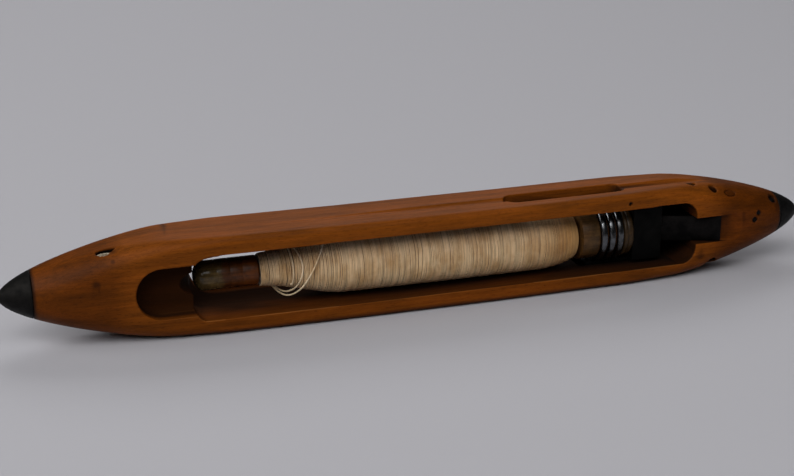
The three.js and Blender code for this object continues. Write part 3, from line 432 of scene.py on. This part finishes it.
def cottonYarn(name, shade):
    # Undyed cotton weft, ring-spun: soft, matt and cream, with darker greasy turns
    y = yarnSet
    clean, greasy = y[shade]
    material, tree, shader = newMaterial(name)
    place = addNode(tree, "TexCoord").outputs["Object"]
    around = 1 / (y["stainAround"] * mm)
    stains = addNode(tree, "TexNoise", inputs={
        "Vector": mapped(tree, (1 / (y["stainAlong"] * mm), around, around)),
        "Scale": 1, "Detail": 4, "Roughness": 0.6}).outputs["Fac"]
    around = 1 / (y["turnReach"] * mm)
    turns = addNode(tree, "TexNoise", inputs={
        "Vector": mapped(tree, (1 / (y["turnWidth"] * mm), around, around)),
        "Scale": 1, "Detail": 2}).outputs["Fac"]
    fibres = addNode(tree, "TexNoise", inputs={
        "Vector": place, "Scale": 1 / (y["fibre"] * mm), "Detail": 2}).outputs["Fac"]
    color = addNode(tree, "ValToRGB", inputs={"Fac": stains}, stops=[
        (0.33, hexColor(greasy)), (0.58, hexColor(clean))]).outputs["Color"]
    tone = addNode(tree, "ValToRGB", inputs={"Fac": turns}, stops=[
        (0.36, grey(0.68)), (0.56, grey(1))]).outputs["Color"]
    color = mixColor(tree, "MULTIPLY", y["turnDepth"], color, tone)
    split = addNode(tree, "SeparateXYZ", inputs={"Vector": place})
    # Painted light: greyer towards the top
    color = tinted(tree, color, split.outputs["Z"], y["paintedUpperGrey"])
    color = tinted(tree, color, split.outputs["X"], y["rightTint"])
    tree.links.new(color, shader.inputs["Base Color"])
    shader.inputs["Roughness"].default_value = y["roughness"]
    shader.inputs["Sheen Weight"].default_value = y["sheen"]
    shader.inputs["Specular IOR Level"].default_value = y["specular"]
    bump = addNode(tree, "Bump", inputs={
        "Strength": y["bumpStrength"], "Distance": y["bumpHeight"] * mm, "Height": fibres})
    tree.links.new(bump.outputs["Normal"], shader.inputs["Normal"])
    return material


bodyWood = oiledDogwood()
pirnWood = varnishedPirnWood()
blackSteel, jawSteel, plateSteel, ringSteel = [wornSteel(name) for name in metalSet]
porcelain = glazedPorcelain()
yarn = cottonYarn("cottonWeft", "weft")
slackYarn = cottonYarn("cottonWeftSlack", "slack")
innerShadeYarn = cottonYarn("cottonWeftInnerShade", "inner")
print("materials made")


# Wooden body and steel points

bodySet = {
    "length": 410, "width": 47.6, "depth": 35.6, "barrelDrop": 5.4,
    "noseLength": 75.9, "noseCurve": 1.48, "noseBluntness": 1.668, "noseMeeting": 8.8,
    "noseRise": 1.21, "riseLength": 162.5,
    "edgeRadius": 3.5, "roundingStart": 12.7, "roundingLength": 94.5, "noseRoundness": 0.985,
    "voxel": 0.5,  # mm
    "faces": 190000,
    "wornPasses": 1,
    "mouth": (-155.8, -7.5),  # mm, middle of the eye's mouth
    "mouthStretch": 1.5,
    "mouthDrawn": 0.6,  # share by which its sides are drawn in
    "lipLowered": 0.4,  # mm, upper lip of the opening
    "lipOverHead": 0.3,  # mm more over the pirn's head
    "armRoom": 0.12,  # mm off the lower wall, so that the sprung arm can bend
}


def smoothStep(values):
    held = np.clip(values, 0, 1)
    return held * held * (3 - 2 * held)


def outerForm(points):
    # Signed distance in mm from the body's outer form, and the nearest place on it
    b = bodySet
    x, y, z = points.T
    fromPoint = np.maximum(b["length"] / 2 - np.abs(x), 0.001)
    drawn = np.maximum(1 - np.maximum(1 - fromPoint / b["noseLength"], 0) ** b["noseCurve"], 1e-9)
    half = b["width"] / 2 * drawn ** (1 / b["noseBluntness"])
    barrel = (b["depth"] - b["barrelDrop"] * (1 - fromPoint / (b["length"] / 2)) ** 2) / 2
    depth = (half ** -b["noseMeeting"] + barrel ** -b["noseMeeting"]) ** (-1 / b["noseMeeting"])
    edged = smoothStep((fromPoint - b["roundingStart"]) / b["roundingLength"])
    radius = np.minimum(half, depth) * (1 - edged) * b["noseRoundness"]
    radius = radius + b["edgeRadius"] * edged
    centre = b["width"] / 2 + b["noseRise"] * np.maximum(1 - fromPoint / b["riseLength"], 0)
    offset = np.stack([np.abs(y), np.abs(z - centre)], 1)
    inner = np.stack([depth - radius, half - radius], 1)
    over = offset - inner
    reach = np.linalg.norm(np.maximum(over, 0), axis=1)
    distance = reach + np.minimum(over.max(1), 0) - radius
    corner = (over > 0).all(1)
    way = np.where(corner[:, None], over / np.maximum(reach, 1e-6)[:, None],
                   np.stack([over[:, 0] > over[:, 1], over[:, 0] <= over[:, 1]], 1))
    nearest = np.where(way > 0, np.where(corner[:, None], inner + radius[:, None] * way,
                                         np.stack([depth, half], 1)), offset)
    signs = np.stack([np.sign(y), np.sign(z - centre)], 1)
    nearest = nearest * signs
    normal = np.stack([np.zeros(len(x)), *(way * signs).T], 1)
    place = np.stack([x, nearest[:, 0], nearest[:, 1] + centre], 1)
    return distance, place, normal


def vertexRows(mesh):
    rows = np.empty(len(mesh.vertices) * 3)
    mesh.vertices.foreach_get("co", rows)
    return rows.reshape(-1, 3)


def normalRows(mesh):
    rows = np.empty(len(mesh.vertices) * 3)
    mesh.vertex_normals.foreach_get("vector", rows)
    return rows.reshape(-1, 3)


def placeVertices(mesh, points):
    mesh.vertices.foreach_set("co", (points * mm).ravel())
    mesh.update()


def roundTheFacets(piece, tolerance=0.3):
    # The copy's flat facets on the outer form are moved out to the true curve
    mesh = piece.data
    points = vertexRows(mesh) / mm
    distance, place, normal = outerForm(points)
    facing = (normalRows(mesh) * normal).sum(1)
    pull = smoothStep(1 - np.abs(distance) / tolerance) * smoothStep((facing - 0.6) / 0.2)
    points += (place - points) * pull[:, None]
    placeVertices(mesh, points)


def storeAttribute(piece, name, values):
    attribute = piece.data.attributes.new(name, "FLOAT", "POINT")
    attribute.data.foreach_set("value", values.astype(np.float32))


# Dark marks in the wood, and spots of painted shade: place in mm, radius, strength, and whether
# only the inside is dark
stainAndShadeSpots = [
    # Nails of the right shoulder, the knot under them and the wall's pin
    ((172.2, -15.1, 26.8), 1.4, 0.9, False), ((174.5, -14.6, 30.1), 1.5, 0.8, False),
    ((141.4, -16.4, 11.4), 2.2, 0.55, False), ((100.7, -17, 43.3), 1.0, 0.8, False),
    # Bruises of the left nose and of the upper wall
    ((-153.6, -13.8, 41.1), 1.0, 0.5, False), ((-161.7, -15.8, 31.5), 1.8, 0.6, False),
    ((-127, 9.5, 48.2), 1.4, 0.7, False), ((128.6, 6.3, 48.2), 1.2, 0.8, False),
    # Round the right tip's pin
    ((185.8, -8, 34.7), 2.6, 0.85, False), ((188, -10, 31), 2.6, 0.5, False),
    # Painted shadow in the end of the feeler slot, and dark marks at the end of the cover plate
    ((101, -1, 45.5), 4.5, 0.8, True), ((154.5, -16, 28.5), 3.6, 0.65, False),
    ((154.5, -16, 22.5), 3.6, 0.65, False),
    # Two rows of short cross scratches beside the plate
    ((165.2, -15.6, 31), 1.0, 0.45, False), ((165.4, -15.6, 29.2), 0.9, 0.4, False),
    ((165.5, -15.6, 27.4), 0.9, 0.4, False), ((165.7, -15.6, 25.6), 0.8, 0.35, False),
    ((160.3, -15.9, 26), 0.9, 0.3, False), ((160.5, -15.9, 24.2), 0.9, 0.35, False),
    ((160.6, -15.9, 22.4), 0.9, 0.3, False),
    # Painted shade inside the pin holes, the bolt hole, the eye's hole and the lower corner pocket
    ((138, -7.5, 44), 4.5, 1.0, True), ((149, -10.8, 42.5), 3.6, 1.0, True),
    ((-155.8, -7.5, 42.5), 6, 1.0, True), ((124, -8, 10), 9, 0.9, True),
    ((133, -11, 11), 8, 0.9, True), ((147.5, -8.5, 41.6), 3.4, 1.0, True),
    ((185.8, -7.5, 33.5), 3, 1.0, True),
]

# Shares of each kind of wear and of painted shade in the body's colour, and where it lies in mm
wearAndShadeSet = {
    # painted shade, partly grime, in the bores and hollows
    "insideShadeAndGrime": 0.93,
    "turnedShadeAndGrime": 0.3,  # painted shade, partly grime, on all that doesn't face outwards
    # less painted shade on the feeler slot's walls
    "slotPaler": 0.7,
    "edgeWearAndHighlightBelow": 12,
    # painted shade in the opening, partly oil, darker towards the jaws
    "oilAndShadeAlong": ((-90, -50, 50, 110), (0, 0.45, 0.55, 0.85)),
    "oilAndShadeLighter": 0.45,  # less of the painted shade and oil in the upper right corner of the opening
    # painted contact shadow along the bottom edge
    "underside": 0.6,
    "noseFrom": 140,
    "leftNose": 0.75,
    "rightNose": 0.85,
    "lowerRail": 0.3,
    "topFace": 0.2,
    "endFrom": 187.6,
    "endStain": 0.85,
}


def stainAndShadeValues(points, distance, spots):
    values = np.zeros(len(points))
    under = smoothStep((-distance - 0.3) / 0.8)
    for place, radius, strength, onlyInside in spots:
        reach = np.linalg.norm(points - np.array(place), axis=1)
        mark = strength * smoothStep(1.5 - reach / radius)
        values = np.maximum(values, mark * under if onlyInside else mark)
    return values


def shiftBody(points):
    # Small hand-worn changes to the straight cuts; x, y and z are views of the points
    b = bodySet
    x, y, z = points.T
    mouthX, mouthY = b["mouth"]
    fromMouth = np.hypot((x - mouthX) / b["mouthStretch"], y - mouthY)
    drawn = b["mouthDrawn"] * smoothStep((6 - fromMouth) / 3) * smoothStep((z - 43) / 1.5)
    y += (mouthY - y) * drawn
    overHead = smoothStep((x + 116) / 10) * smoothStep((-48 - x) / 14)
    alongLip = smoothStep((x + 116) / 10) * smoothStep((118 - x) / 6)
    front = smoothStep((-5 - y) / 4) * smoothStep((46 - z) / 4) * smoothStep((z - 33) / 2)
    z -= (b["lipLowered"] * alongLip + b["lipOverHead"] * overHead) * front
    underArm = smoothStep((x - 80) / 3) * smoothStep((100 - x) / 3) * smoothStep((y + 13) / 2)
    z -= b["armRoom"] * underArm * smoothStep((6.6 - z) / 0.5) * smoothStep((z - 4.4) / 0.6)


def storeWearAndShade(piece, points):
    w = wearAndShadeSet
    x, y, z = points.T
    distance, _, outward = outerForm(points)
    facing = (normalRows(piece.data) * outward).sum(1)
    turned = smoothStep((0.8 - facing) / 0.5)
    slotSide = smoothStep((z - 40.5) / 1.5)
    # Painted shade, partly grime, in the bores and on all that faces away from the outside, less
    # on the slot's walls
    bored = w["insideShadeAndGrime"] * smoothStep((-distance - 0.6) / 2.6)
    inside = np.maximum(bored, w["turnedShadeAndGrime"] * turned) * (1 - w["slotPaler"] * slotSide)
    storeAttribute(piece, "inside", inside)
    # Painted highlight along the rounded lower edge of the opening, partly paler worn wood
    edgeWearAndHighlight = 4 * turned * (1 - turned) * smoothStep((w["edgeWearAndHighlightBelow"] - z) / 2)
    storeAttribute(piece, "edgeWearAndHighlight", edgeWearAndHighlight)
    noses = smoothStep((np.abs(x) - w["noseFrom"]) / 20)
    noses = noses * np.where(x < 0, w["leftNose"], w["rightNose"])
    lowerRail = w["lowerRail"] * smoothStep((14 - z) / 6)
    topFace = w["topFace"] * smoothStep((z - 44) / 3)
    storeAttribute(piece, "darkening", np.maximum(noses, np.maximum(lowerRail, topFace)))
    # Painted shade in the opening, partly oil, darker towards the jaws
    oilAndShade = np.interp(x, *w["oilAndShadeAlong"])
    oilAndShade = oilAndShade * (1 - w["oilAndShadeLighter"] * smoothStep((z - 28) / 4) * smoothStep((x - 100) / 10))
    # Painted contact shadow along the bottom edge
    underside = w["underside"] * smoothStep((3.2 - z) / 2.2)
    oilAndShade = np.maximum(oilAndShade * turned * (1 - slotSide), underside)
    endStain = w["endStain"] * smoothStep((np.abs(x) - w["endFrom"]) / 1.8)
    spots = stainAndShadeValues(points, distance, stainAndShadeSpots)
    storeAttribute(piece, "stainAndShade", np.maximum(np.maximum(spots, endStain), oilAndShade))


def makeBody():
    piece = copyNode("shuttle_body", "wooden_body")
    applyModifier(piece, "REMESH", mode="VOXEL", voxel_size=bodySet["voxel"] * mm)
    roundTheFacets(piece)
    applyModifier(piece, "SMOOTH", factor=0.5, iterations=bodySet["wornPasses"])
    triangles = 2 * len(piece.data.polygons)
    if triangles > bodySet["faces"]:
        applyModifier(piece, "DECIMATE", ratio=bodySet["faces"] / triangles)
    points = vertexRows(piece.data) / mm
    shiftBody(points)
    placeVertices(piece.data, points)
    storeWearAndShade(piece, points)
    piece.data.shade_smooth()
    print("wooden body:", len(piece.data.polygons), "faces")
    return piece


tipSet = {  # mm
    "voxel": 0.35, "rounding": 0.6,
    "axisHeight": 24.9, "base": 189.8, "baseWithin": 0.3, "shankRadius": 5,
    "pressed": 0.28,  # how far the cone's base goes towards the wood
}


def makeTip(side, node):
    t = tipSet
    piece = copyNode(node, node + "_steel")
    applyModifier(piece, "REMESH", mode="VOXEL", voxel_size=t["voxel"] * mm)
    roundTheFacets(piece, t["rounding"])
    points = vertexRows(piece.data) / mm
    x, y, z = points.T
    fromAxis = np.hypot(y, z - t["axisHeight"])
    base = (np.abs(np.abs(x) - t["base"]) < t["baseWithin"]) & (fromAxis > t["shankRadius"])
    x[base] = side * (np.abs(x[base]) - t["pressed"])
    placeVertices(piece.data, points)
    piece.data.shade_smooth()
    return piece


body = makeBody()
dress(body, bodyWood, "body", ["shuttle_body"])
for side, node in ((-1, "tip_left"), (1, "tip_right")):
    dress(makeTip(side, node), blackSteel, "body", [node])
print("body and tips made")


# Turned pieces

pirnSet = {
    "y": 1, "z": 24.2,
    "left": -115.5, "right": 106.2,
    "headRadius": 7.2, "headRight": -84.9, "headGrooves": (-105, -98.6, -92.6),
    "barrelRadius": 4.6, "coneLeft": 77.6, "coneRight": 78.6, "buttRadius": 12.7,
    "ringSeat": 12.1, "ringSeatLeft": 87.6, "ringSeatRight": 100.5,
    "flangeRadius": 13.5, "flangeLeft": 100.7, "flangeRight": 102.9, "bandRadius": 13.1,
    "bore": 4.5, "boreDepth": 70,
    "ringFirst": 89.6, "ringPitch": 4.35, "ringWidth": 3.3, "ringRadius": 14.6, "ringFoot": 1.1,
    "domeLength": 4.5, "domeSteps": 8, "grooveHalf": 0.5, "grooveDepth": 0.22,
    "soften": 0.5, "endSoften": 1, "boreTaper": 1.15, "bevel": 0.25,
    "sides": 96, "archSteps": 12,
}
hair = 0.01  # mm between two circles of one flat step


def turnPiece(name, stations, sides, closedLoop=False, upright=False, centre=(0, 0, 0)):
    # A circle is extruded and resized from station to station, then laid along the shuttle
    deselectAll()
    fill = "NOTHING" if closedLoop else "NGON"
    firstPlace, firstRadius = stations[0]
    bpy.ops.mesh.primitive_circle_add(vertices=sides, radius=firstRadius * mm, fill_type=fill)
    piece = bpy.context.object
    piece.name = name
    piece.data.name = name
    bpy.ops.object.mode_set(mode="EDIT")
    bpy.ops.mesh.select_all(action="SELECT")
    bpy.ops.transform.translate(value=(0, 0, firstPlace * mm))
    for (place, radius), (nextPlace, nextRadius) in zip(stations, stations[1:]):
        step = (0, 0, (nextPlace - place) * mm)
        bpy.ops.mesh.extrude_region_move(TRANSFORM_OT_translate={"value": step})
        scale = nextRadius / radius
        if scale != 1:
            centreLine = (0, 0, nextPlace * mm)
            bpy.ops.transform.resize(value=(scale, scale, 1), center_override=centreLine)
    bpy.ops.object.mode_set(mode="OBJECT")
    if not upright:
        piece.rotation_euler = (0, math.pi / 2, 0)
    piece.location = Vector(centre) * mm
    bpy.ops.object.transform_apply(location=True, rotation=True, scale=True)
    mergeAndFaceOut(piece)
    return piece


def pirnStations():
    p = pirnSet
    head, soft, groove = p["headRadius"], p["soften"], p["grooveHalf"]
    stations = []
    for step in range(1, p["domeSteps"] + 1):
        angle = step / p["domeSteps"] * math.pi / 2
        place = p["left"] + p["domeLength"] * (1 - math.cos(angle))
        stations.append((place, head * math.sin(angle)))
    for place in p["headGrooves"]:
        stations += [(place - groove, head), (place, head - p["grooveDepth"]),
                     (place + groove, head)]
    right, end, band = p["headRight"], p["right"], p["bandRadius"]
    stations += [(right - soft, head), (right, head - soft), (right + hair, p["barrelRadius"]),
                 (p["coneLeft"], p["barrelRadius"]), (p["coneRight"], p["buttRadius"]),
                 (p["ringSeatLeft"], p["buttRadius"]), (p["ringSeatLeft"] + hair, p["ringSeat"]),
                 (p["ringSeatRight"], p["ringSeat"]),
                 (p["flangeLeft"], p["flangeRadius"] - soft),
                 (p["flangeLeft"] + soft, p["flangeRadius"]),
                 (p["flangeRight"] - soft, p["flangeRadius"]),
                 (p["flangeRight"], band - soft), (p["flangeRight"] + soft, band),
                 (end - p["endSoften"], band), (end, band - p["endSoften"]),
                 (end + hair, p["bore"]), (end - p["boreDepth"], p["bore"] - p["boreTaper"])]
    return stations


def makePirn():
    centre = (0, pirnSet["y"], pirnSet["z"])
    piece = turnPiece("turned_pirn", pirnStations(), pirnSet["sides"], centre=centre)
    applyModifier(piece, "BEVEL", width=pirnSet["bevel"] * mm, segments=2,
                  limit_method="ANGLE", angle_limit=math.radians(35))
    smoothShade(piece)
    return piece


def makeRing(index):
    p = pirnSet
    middle = p["ringFirst"] + index * p["ringPitch"]
    foot = p["ringRadius"] - p["ringFoot"]
    inside = foot - p["ringFoot"]
    half = p["ringWidth"] / 2
    stations = [(middle - half, inside)]
    for step in range(p["archSteps"] + 1):
        angle = step / p["archSteps"] * math.pi
        stations.append((middle - half * math.cos(angle),
                         foot + p["ringFoot"] * math.sin(angle)))
    stations += [(middle + half, inside), (middle - half, inside)]
    centre = (0, p["y"], p["z"])
    name = "polished_ring_%d" % (index + 1)
    piece = turnPiece(name, stations, p["sides"], closedLoop=True, centre=centre)
    smoothShade(piece)
    return piece


dress(makePirn(), pirnWood, "loaded_pirn", ["pirn"])
for index in range(3):
    node = "pirn_ring_%d" % (index + 1)
    dress(makeRing(index), ringSteel, "loaded_pirn", [node])
print("pirn and rings made")


# Porcelain eye

eyeSet = {"x": -155.8, "y": -7.5, "top": 42.8, "rim": 4.2, "bore": 2.5, "stem": 3.5,
          "oval": 0.548, "height": 6.5, "collar": 2.2, "lip": 0.7, "sides": 64,
          "archSteps": 12}


def makeEye():
    e = eyeSet
    base = e["top"] - e["height"]
    stations = [(base, e["bore"]), (base, e["stem"]),
                (e["top"] - e["collar"], e["stem"]), (e["top"] - e["collar"], e["rim"])]
    lipMiddle = (e["rim"] + e["bore"]) / 2
    width = (e["rim"] - e["bore"]) / 2
    for step in range(e["archSteps"] + 1):
        angle = step / e["archSteps"] * math.pi
        stations.append((e["top"] - e["lip"] + e["lip"] * math.sin(angle),
                         lipMiddle + width * math.cos(angle)))
    stations.append((base, e["bore"]))
    piece = turnPiece("porcelain_eye", stations, e["sides"], closedLoop=True, upright=True)
    piece.scale = (1, e["oval"], 1)
    piece.location = Vector((e["x"], e["y"], 0)) * mm
    makeActive(piece)
    bpy.ops.object.transform_apply(location=True, rotation=True, scale=True)
    smoothShade(piece)
    return piece


dress(makeEye(), porcelain, "body", ["thread_eye"])
print("eye made")


# Wound thread

threadSet = {
    "left": -84.1, "right": 77, "outer": 15.2,
    "leftRadius": 7.6, "taperLeft": -85, "fullLeft": -42,
    "shoulderLeft": 56, "shoulderRight": 80, "shoulderFoot": 6,
    "pitch": 0.68, "radius": 0.345, "stepsPerTurn": 26, "sides": 1,
    "wander": 0.42, "lift": 0.1,  # mm that the turns stray along and outwards
    "turnShift": 0.12,  # mm that a whole turn stands aside
    "ripple": 0.12,  # mm
    "waveAlong": 0.35, "waveAround": 1.3, "rippleScale": 2.1,  # places in the noise
    "swell": 0.55,  # mm that the fullest turns stand over the plain form
    "swellPlace": 28, "swellReach": 85,
    "leftSwell": 0.45,  # mm more at the thin end
    "leftSwellFrom": -84, "leftSwellLength": 40,
    "coreLeft": -84.3, "coreRight": 76.6, "coreEnd": 76.8, "coreBore": 4.8,
    "coreUnder": 0.6,  # mm of the core under the outer turns
    "coreSteps": 40, "coreSides": 64,
}


def woundRadius(x):
    t = threadSet
    if x > t["shoulderLeft"]:
        share = min((x - t["shoulderLeft"]) / (t["shoulderRight"] - t["shoulderLeft"]), 1)
        height = t["outer"] - t["shoulderFoot"]
        return t["shoulderFoot"] + height * math.sqrt(1 - share * share)
    share = min(max((x - t["taperLeft"]) / (t["fullLeft"] - t["taperLeft"]), 0), 1)
    return t["leftRadius"] + (t["outer"] - t["leftRadius"]) * share * share * (3 - 2 * share)


def swollen(x):
    t = threadSet
    offset = (x - t["swellPlace"]) / t["swellReach"]
    atLeft = t["leftSwell"] * max(1 - (x - t["leftSwellFrom"]) / t["leftSwellLength"], 0)
    return t["swell"] * max(1 - offset * offset, 0) + atLeft


def aroundPirn(x, angle, radius):
    return Vector((x, pirnSet["y"] - radius * math.sin(angle),
                   pirnSet["z"] + radius * math.cos(angle))) * mm


def tubeAlong(name, points, radius, roundness, keepCurve=False):
    data = bpy.data.curves.new(name, "CURVE")
    data.dimensions = "3D"
    data.bevel_depth = radius * mm
    data.bevel_resolution = roundness
    data.use_fill_caps = True
    spline = data.splines.new("POLY")
    spline.points.add(len(points) - 1)
    spline.points.foreach_set("co", [v for point in points for v in (*point, 1)])
    piece = bpy.data.objects.new(name, data)
    bpy.context.scene.collection.objects.link(piece)
    if not keepCurve:
        makeActive(piece)
        bpy.ops.object.convert(target="MESH")
        piece = bpy.context.object
        piece.data.shade_smooth()
    return piece


def windingPoints():
    t = threadSet
    turns = int((t["right"] - t["left"]) / t["pitch"])
    points = []
    for turn in range(turns):
        shift = random.uniform(-t["turnShift"], t["turnShift"])
        lift = random.uniform(-t["lift"], t["lift"])
        for step in range(t["stepsPerTurn"]):
            share = turn + step / t["stepsPerTurn"]
            angle = share * 2 * math.pi
            x = t["left"] + share * t["pitch"]
            spot = Vector((x * t["waveAlong"], t["waveAround"] * math.cos(angle),
                           t["waveAround"] * math.sin(angle)))
            x += t["wander"] * noise.noise(spot) + shift
            ripple = noise.noise(spot * t["rippleScale"] + Vector((9, 0, 0)))
            rise = lift + swollen(x) + t["ripple"] * ripple
            points.append(aroundPirn(x, angle, woundRadius(x) - t["radius"] + rise))
    return points


def makeWinding():
    return tubeAlong("wound_thread", windingPoints(), threadSet["radius"], threadSet["sides"])


def makeThreadCore():
    t = threadSet
    stations = [(t["coreLeft"], t["coreBore"])]
    for step in range(t["coreSteps"] + 1):
        x = t["coreLeft"] + (t["coreRight"] - t["coreLeft"]) * step / t["coreSteps"]
        stations.append((x, woundRadius(x) + swollen(x) - t["coreUnder"]))
    stations += [(t["coreEnd"], t["coreBore"]), (t["coreLeft"], t["coreBore"])]
    centre = (0, pirnSet["y"], pirnSet["z"])
    piece = turnPiece("thread_layers", stations, t["coreSides"], closedLoop=True,
                      centre=centre)
    smoothShade(piece)
    return piece


dress(makeWinding(), yarn, "loaded_pirn", ["thread_winding"])
dress(makeThreadCore(), innerShadeYarn, "loaded_pirn", ["thread_core"])
print("wound thread made")


# Loose thread. Each point is a place along the pirn, an angle from the top towards the
# open face, and a lift over the wound thread.
looseSet = {
    "diameter": 0.8,  # mm
    "steps": 240,
    "sides": 2,
    "points": [
        (-50.4, -62, -1.2), (-50.4, -61.9, -0.2), (-50.5, -58, 1.6), (-51, -40, 2.4),
        (-52.2, -8, 1.6), (-53.8, 30, 1.4), (-58.2, 65, 1.6), (-62.5, 98, 1.9),
        (-66.6, 140, 2.4), (-71.4, 172, 4.6), (-76.2, 202, 3.6), (-77.6, 240, 1.9),
        (-74.6, 290, 1.5), (-70.8, 335, 1.2), (-67.9, 379, 1.2), (-65.4, 420, 1.1),
        (-65.4, 452, 1.0), (-67.9, 494, 1.2), (-71.8, 527, 2.6), (-75.4, 556, 2.4),
        (-76, 600, 1.9), (-73.8, 650, 2.5), (-71, 698, 2.4), (-70.2, 745, 1.5),
        (-69.5, 785, 1.1), (-69.6, 820, 1.4), (-70.1, 844, 1.3), (-70.1, 848.9, -0.2),
        (-70.1, 849, -1.2),
    ],
}


def smoothCurve(points, steps):
    # A centripetal curve through the points, at even shares of its count of spans
    ends = [2 * points[0] - points[1], *points, 2 * points[-1] - points[-2]]
    line = []
    for step in range(steps + 1):
        share = min(step / steps * (len(points) - 1), len(points) - 1 - 1e-6)
        span = int(share)
        p = ends[span:span + 4]
        knots = [0.0]
        for first, second in zip(p, p[1:]):
            knots.append(knots[-1] + max((second - first).length, 1e-7) ** 0.5)
        t = knots[1] + (share - span) * (knots[2] - knots[1])
        level = p
        for spans in (((0, 1), (1, 2), (2, 3)), ((0, 2), (1, 3)), ((1, 2),)):
            pairs = []
            for i, (first, last) in enumerate(spans):
                blend = (t - knots[first]) / (knots[last] - knots[first])
                pairs.append(level[i].lerp(level[i + 1], blend))
            level = pairs
        line.append(level[0])
    return line


def makeLooseThread():
    route = [aroundPirn(x, math.radians(angle), woundRadius(x) + lift)
             for x, angle, lift in looseSet["points"]]
    line = smoothCurve(route, looseSet["steps"])
    length = sum((b - a).length for a, b in zip(line, line[1:]))
    print("loose thread length, mm: %.1f" % (length / mm))
    piece = tubeAlong("slack_thread", line, looseSet["diameter"] / 2, looseSet["sides"],
                      keepCurve=True)
    return piece, line[0]


slack, slackStart = makeLooseThread()
dress(slack, slackYarn, "loaded_pirn", ["loose_thread"])
print("loose thread made")


# Jaws, plate, bolt and small iron pieces

def bevelledCopy(node, name, width):
    piece = copyNode(node, name)
    applyModifier(piece, "BEVEL", width=width * mm, segments=2, limit_method="ANGLE",
                  angle_limit=math.radians(30))
    smoothShade(piece, 35)
    return piece


plugSet = {"darkening": 1.0, "stainAndShade": 0.12}
ironPieces = [  # node, name, width of the worn edge in mm, material, body, slot
    ("jaw_block", "iron_jaw_block", 0.8, jawSteel, "body", "jaw_iron"),
    ("jaw_arm_upper", "upper_jaw_spring", 0.4, jawSteel, "upper_jaw", "jaw_steel"),
    ("jaw_arm_lower", "lower_jaw_spring", 0.4, jawSteel, "lower_jaw", "jaw_steel"),
    ("incline_plate", "steel_incline", 0.25, plateSteel, "body", "plate_steel"),
    ("jaw_bolt", "cross_bolt", 0.2, blackSteel, "body", "black_steel"),
    ("bolt_washer", "cross_bolt_washer", 0.1, blackSteel, "body", "black_steel"),
    ("side_plug", "wooden_plug", 0.2, bodyWood, "body", "oiled_wood"),
    ("tip_pin_left", "left_tip_pin", 0.2, blackSteel, "body", "black_steel"),
    ("tip_pin_right", "right_tip_pin", 0.2, blackSteel, "body", "black_steel"),
    ("ramp_brad", "ramp_brad_head", 0.2, blackSteel, "body", "black_steel"),
    ("ramp_pin", "ramp_pin_head", 0.1, blackSteel, "body", "black_steel"),
    ("wall_pin", "wall_pin_head", 0.1, blackSteel, "body", "black_steel"),
]
for node, name, width, material, bodyName, slotName in ironPieces:
    piece = bevelledCopy(node, name, width)
    if node == "side_plug":
        for wear, share in plugSet.items():
            storeAttribute(piece, wear, np.full(len(piece.data.vertices), share))
    dress(piece, material, bodyName, [node])
print("iron pieces made")


# Floor, lamps and world

stageSet = {
    "floor": "#b4b3b8",
    "worldColor": "#f4f4f6",
    "worldStrength": 0.04,
    "lamps": [  # name, place in m, size in m, watts, seen in shine
        ("left", (-2.5, 0.2, 2.0), 1.8, 31, True),
        ("leftFront", (-1.8, -1.6, 2.2), 2.0, 45, True),
        ("frontHigh", (-0.2, -2.0, 2.6), 2.2, 29, True),
        ("back", (0.3, 2.5, 2.2), 1.8, 19, False),
        ("backRight", (0.9, 2.5, 2.2), 1.8, 19, True),
    ],
}


def makeFloor():
    deselectAll()
    bpy.ops.mesh.primitive_plane_add(size=12, location=(0, 0, -0.05 * mm))
    floor = bpy.context.object
    floor.name = "paper_floor"
    material, tree, shader = newMaterial("matPaper")
    shader.inputs["Base Color"].default_value = hexColor(stageSet["floor"])
    shader.inputs["Roughness"].default_value = 0.9
    shader.inputs["Specular IOR Level"].default_value = 0.1
    floor.data.materials.append(material)


def addLamp(name, place, target, size, watts, shiny):
    data = bpy.data.lights.new(name, "AREA")
    data.size = size
    data.energy = watts
    lamp = bpy.data.objects.new(name, data)
    bpy.context.scene.collection.objects.link(lamp)
    lamp.location = place
    lamp.visible_glossy = shiny
    way = Vector(target) - Vector(place)
    lamp.rotation_euler = way.to_track_quat("-Z", "Y").to_euler()


makeFloor()
for lampName, place, size, watts, shiny in stageSet["lamps"]:
    addLamp(lampName, place, (0, 0, 0), size, watts, shiny)
world = bpy.data.worlds.new("studio")
bpy.context.scene.world = world
world.use_nodes = True
backdrop = world.node_tree.nodes["Background"]
backdrop.inputs["Color"].default_value = hexColor(stageSet["worldColor"])
backdrop.inputs["Strength"].default_value = stageSet["worldStrength"]
bpy.context.scene.view_settings.view_transform = "Standard"
print("stage made")

bpy.context.view_layer.update()
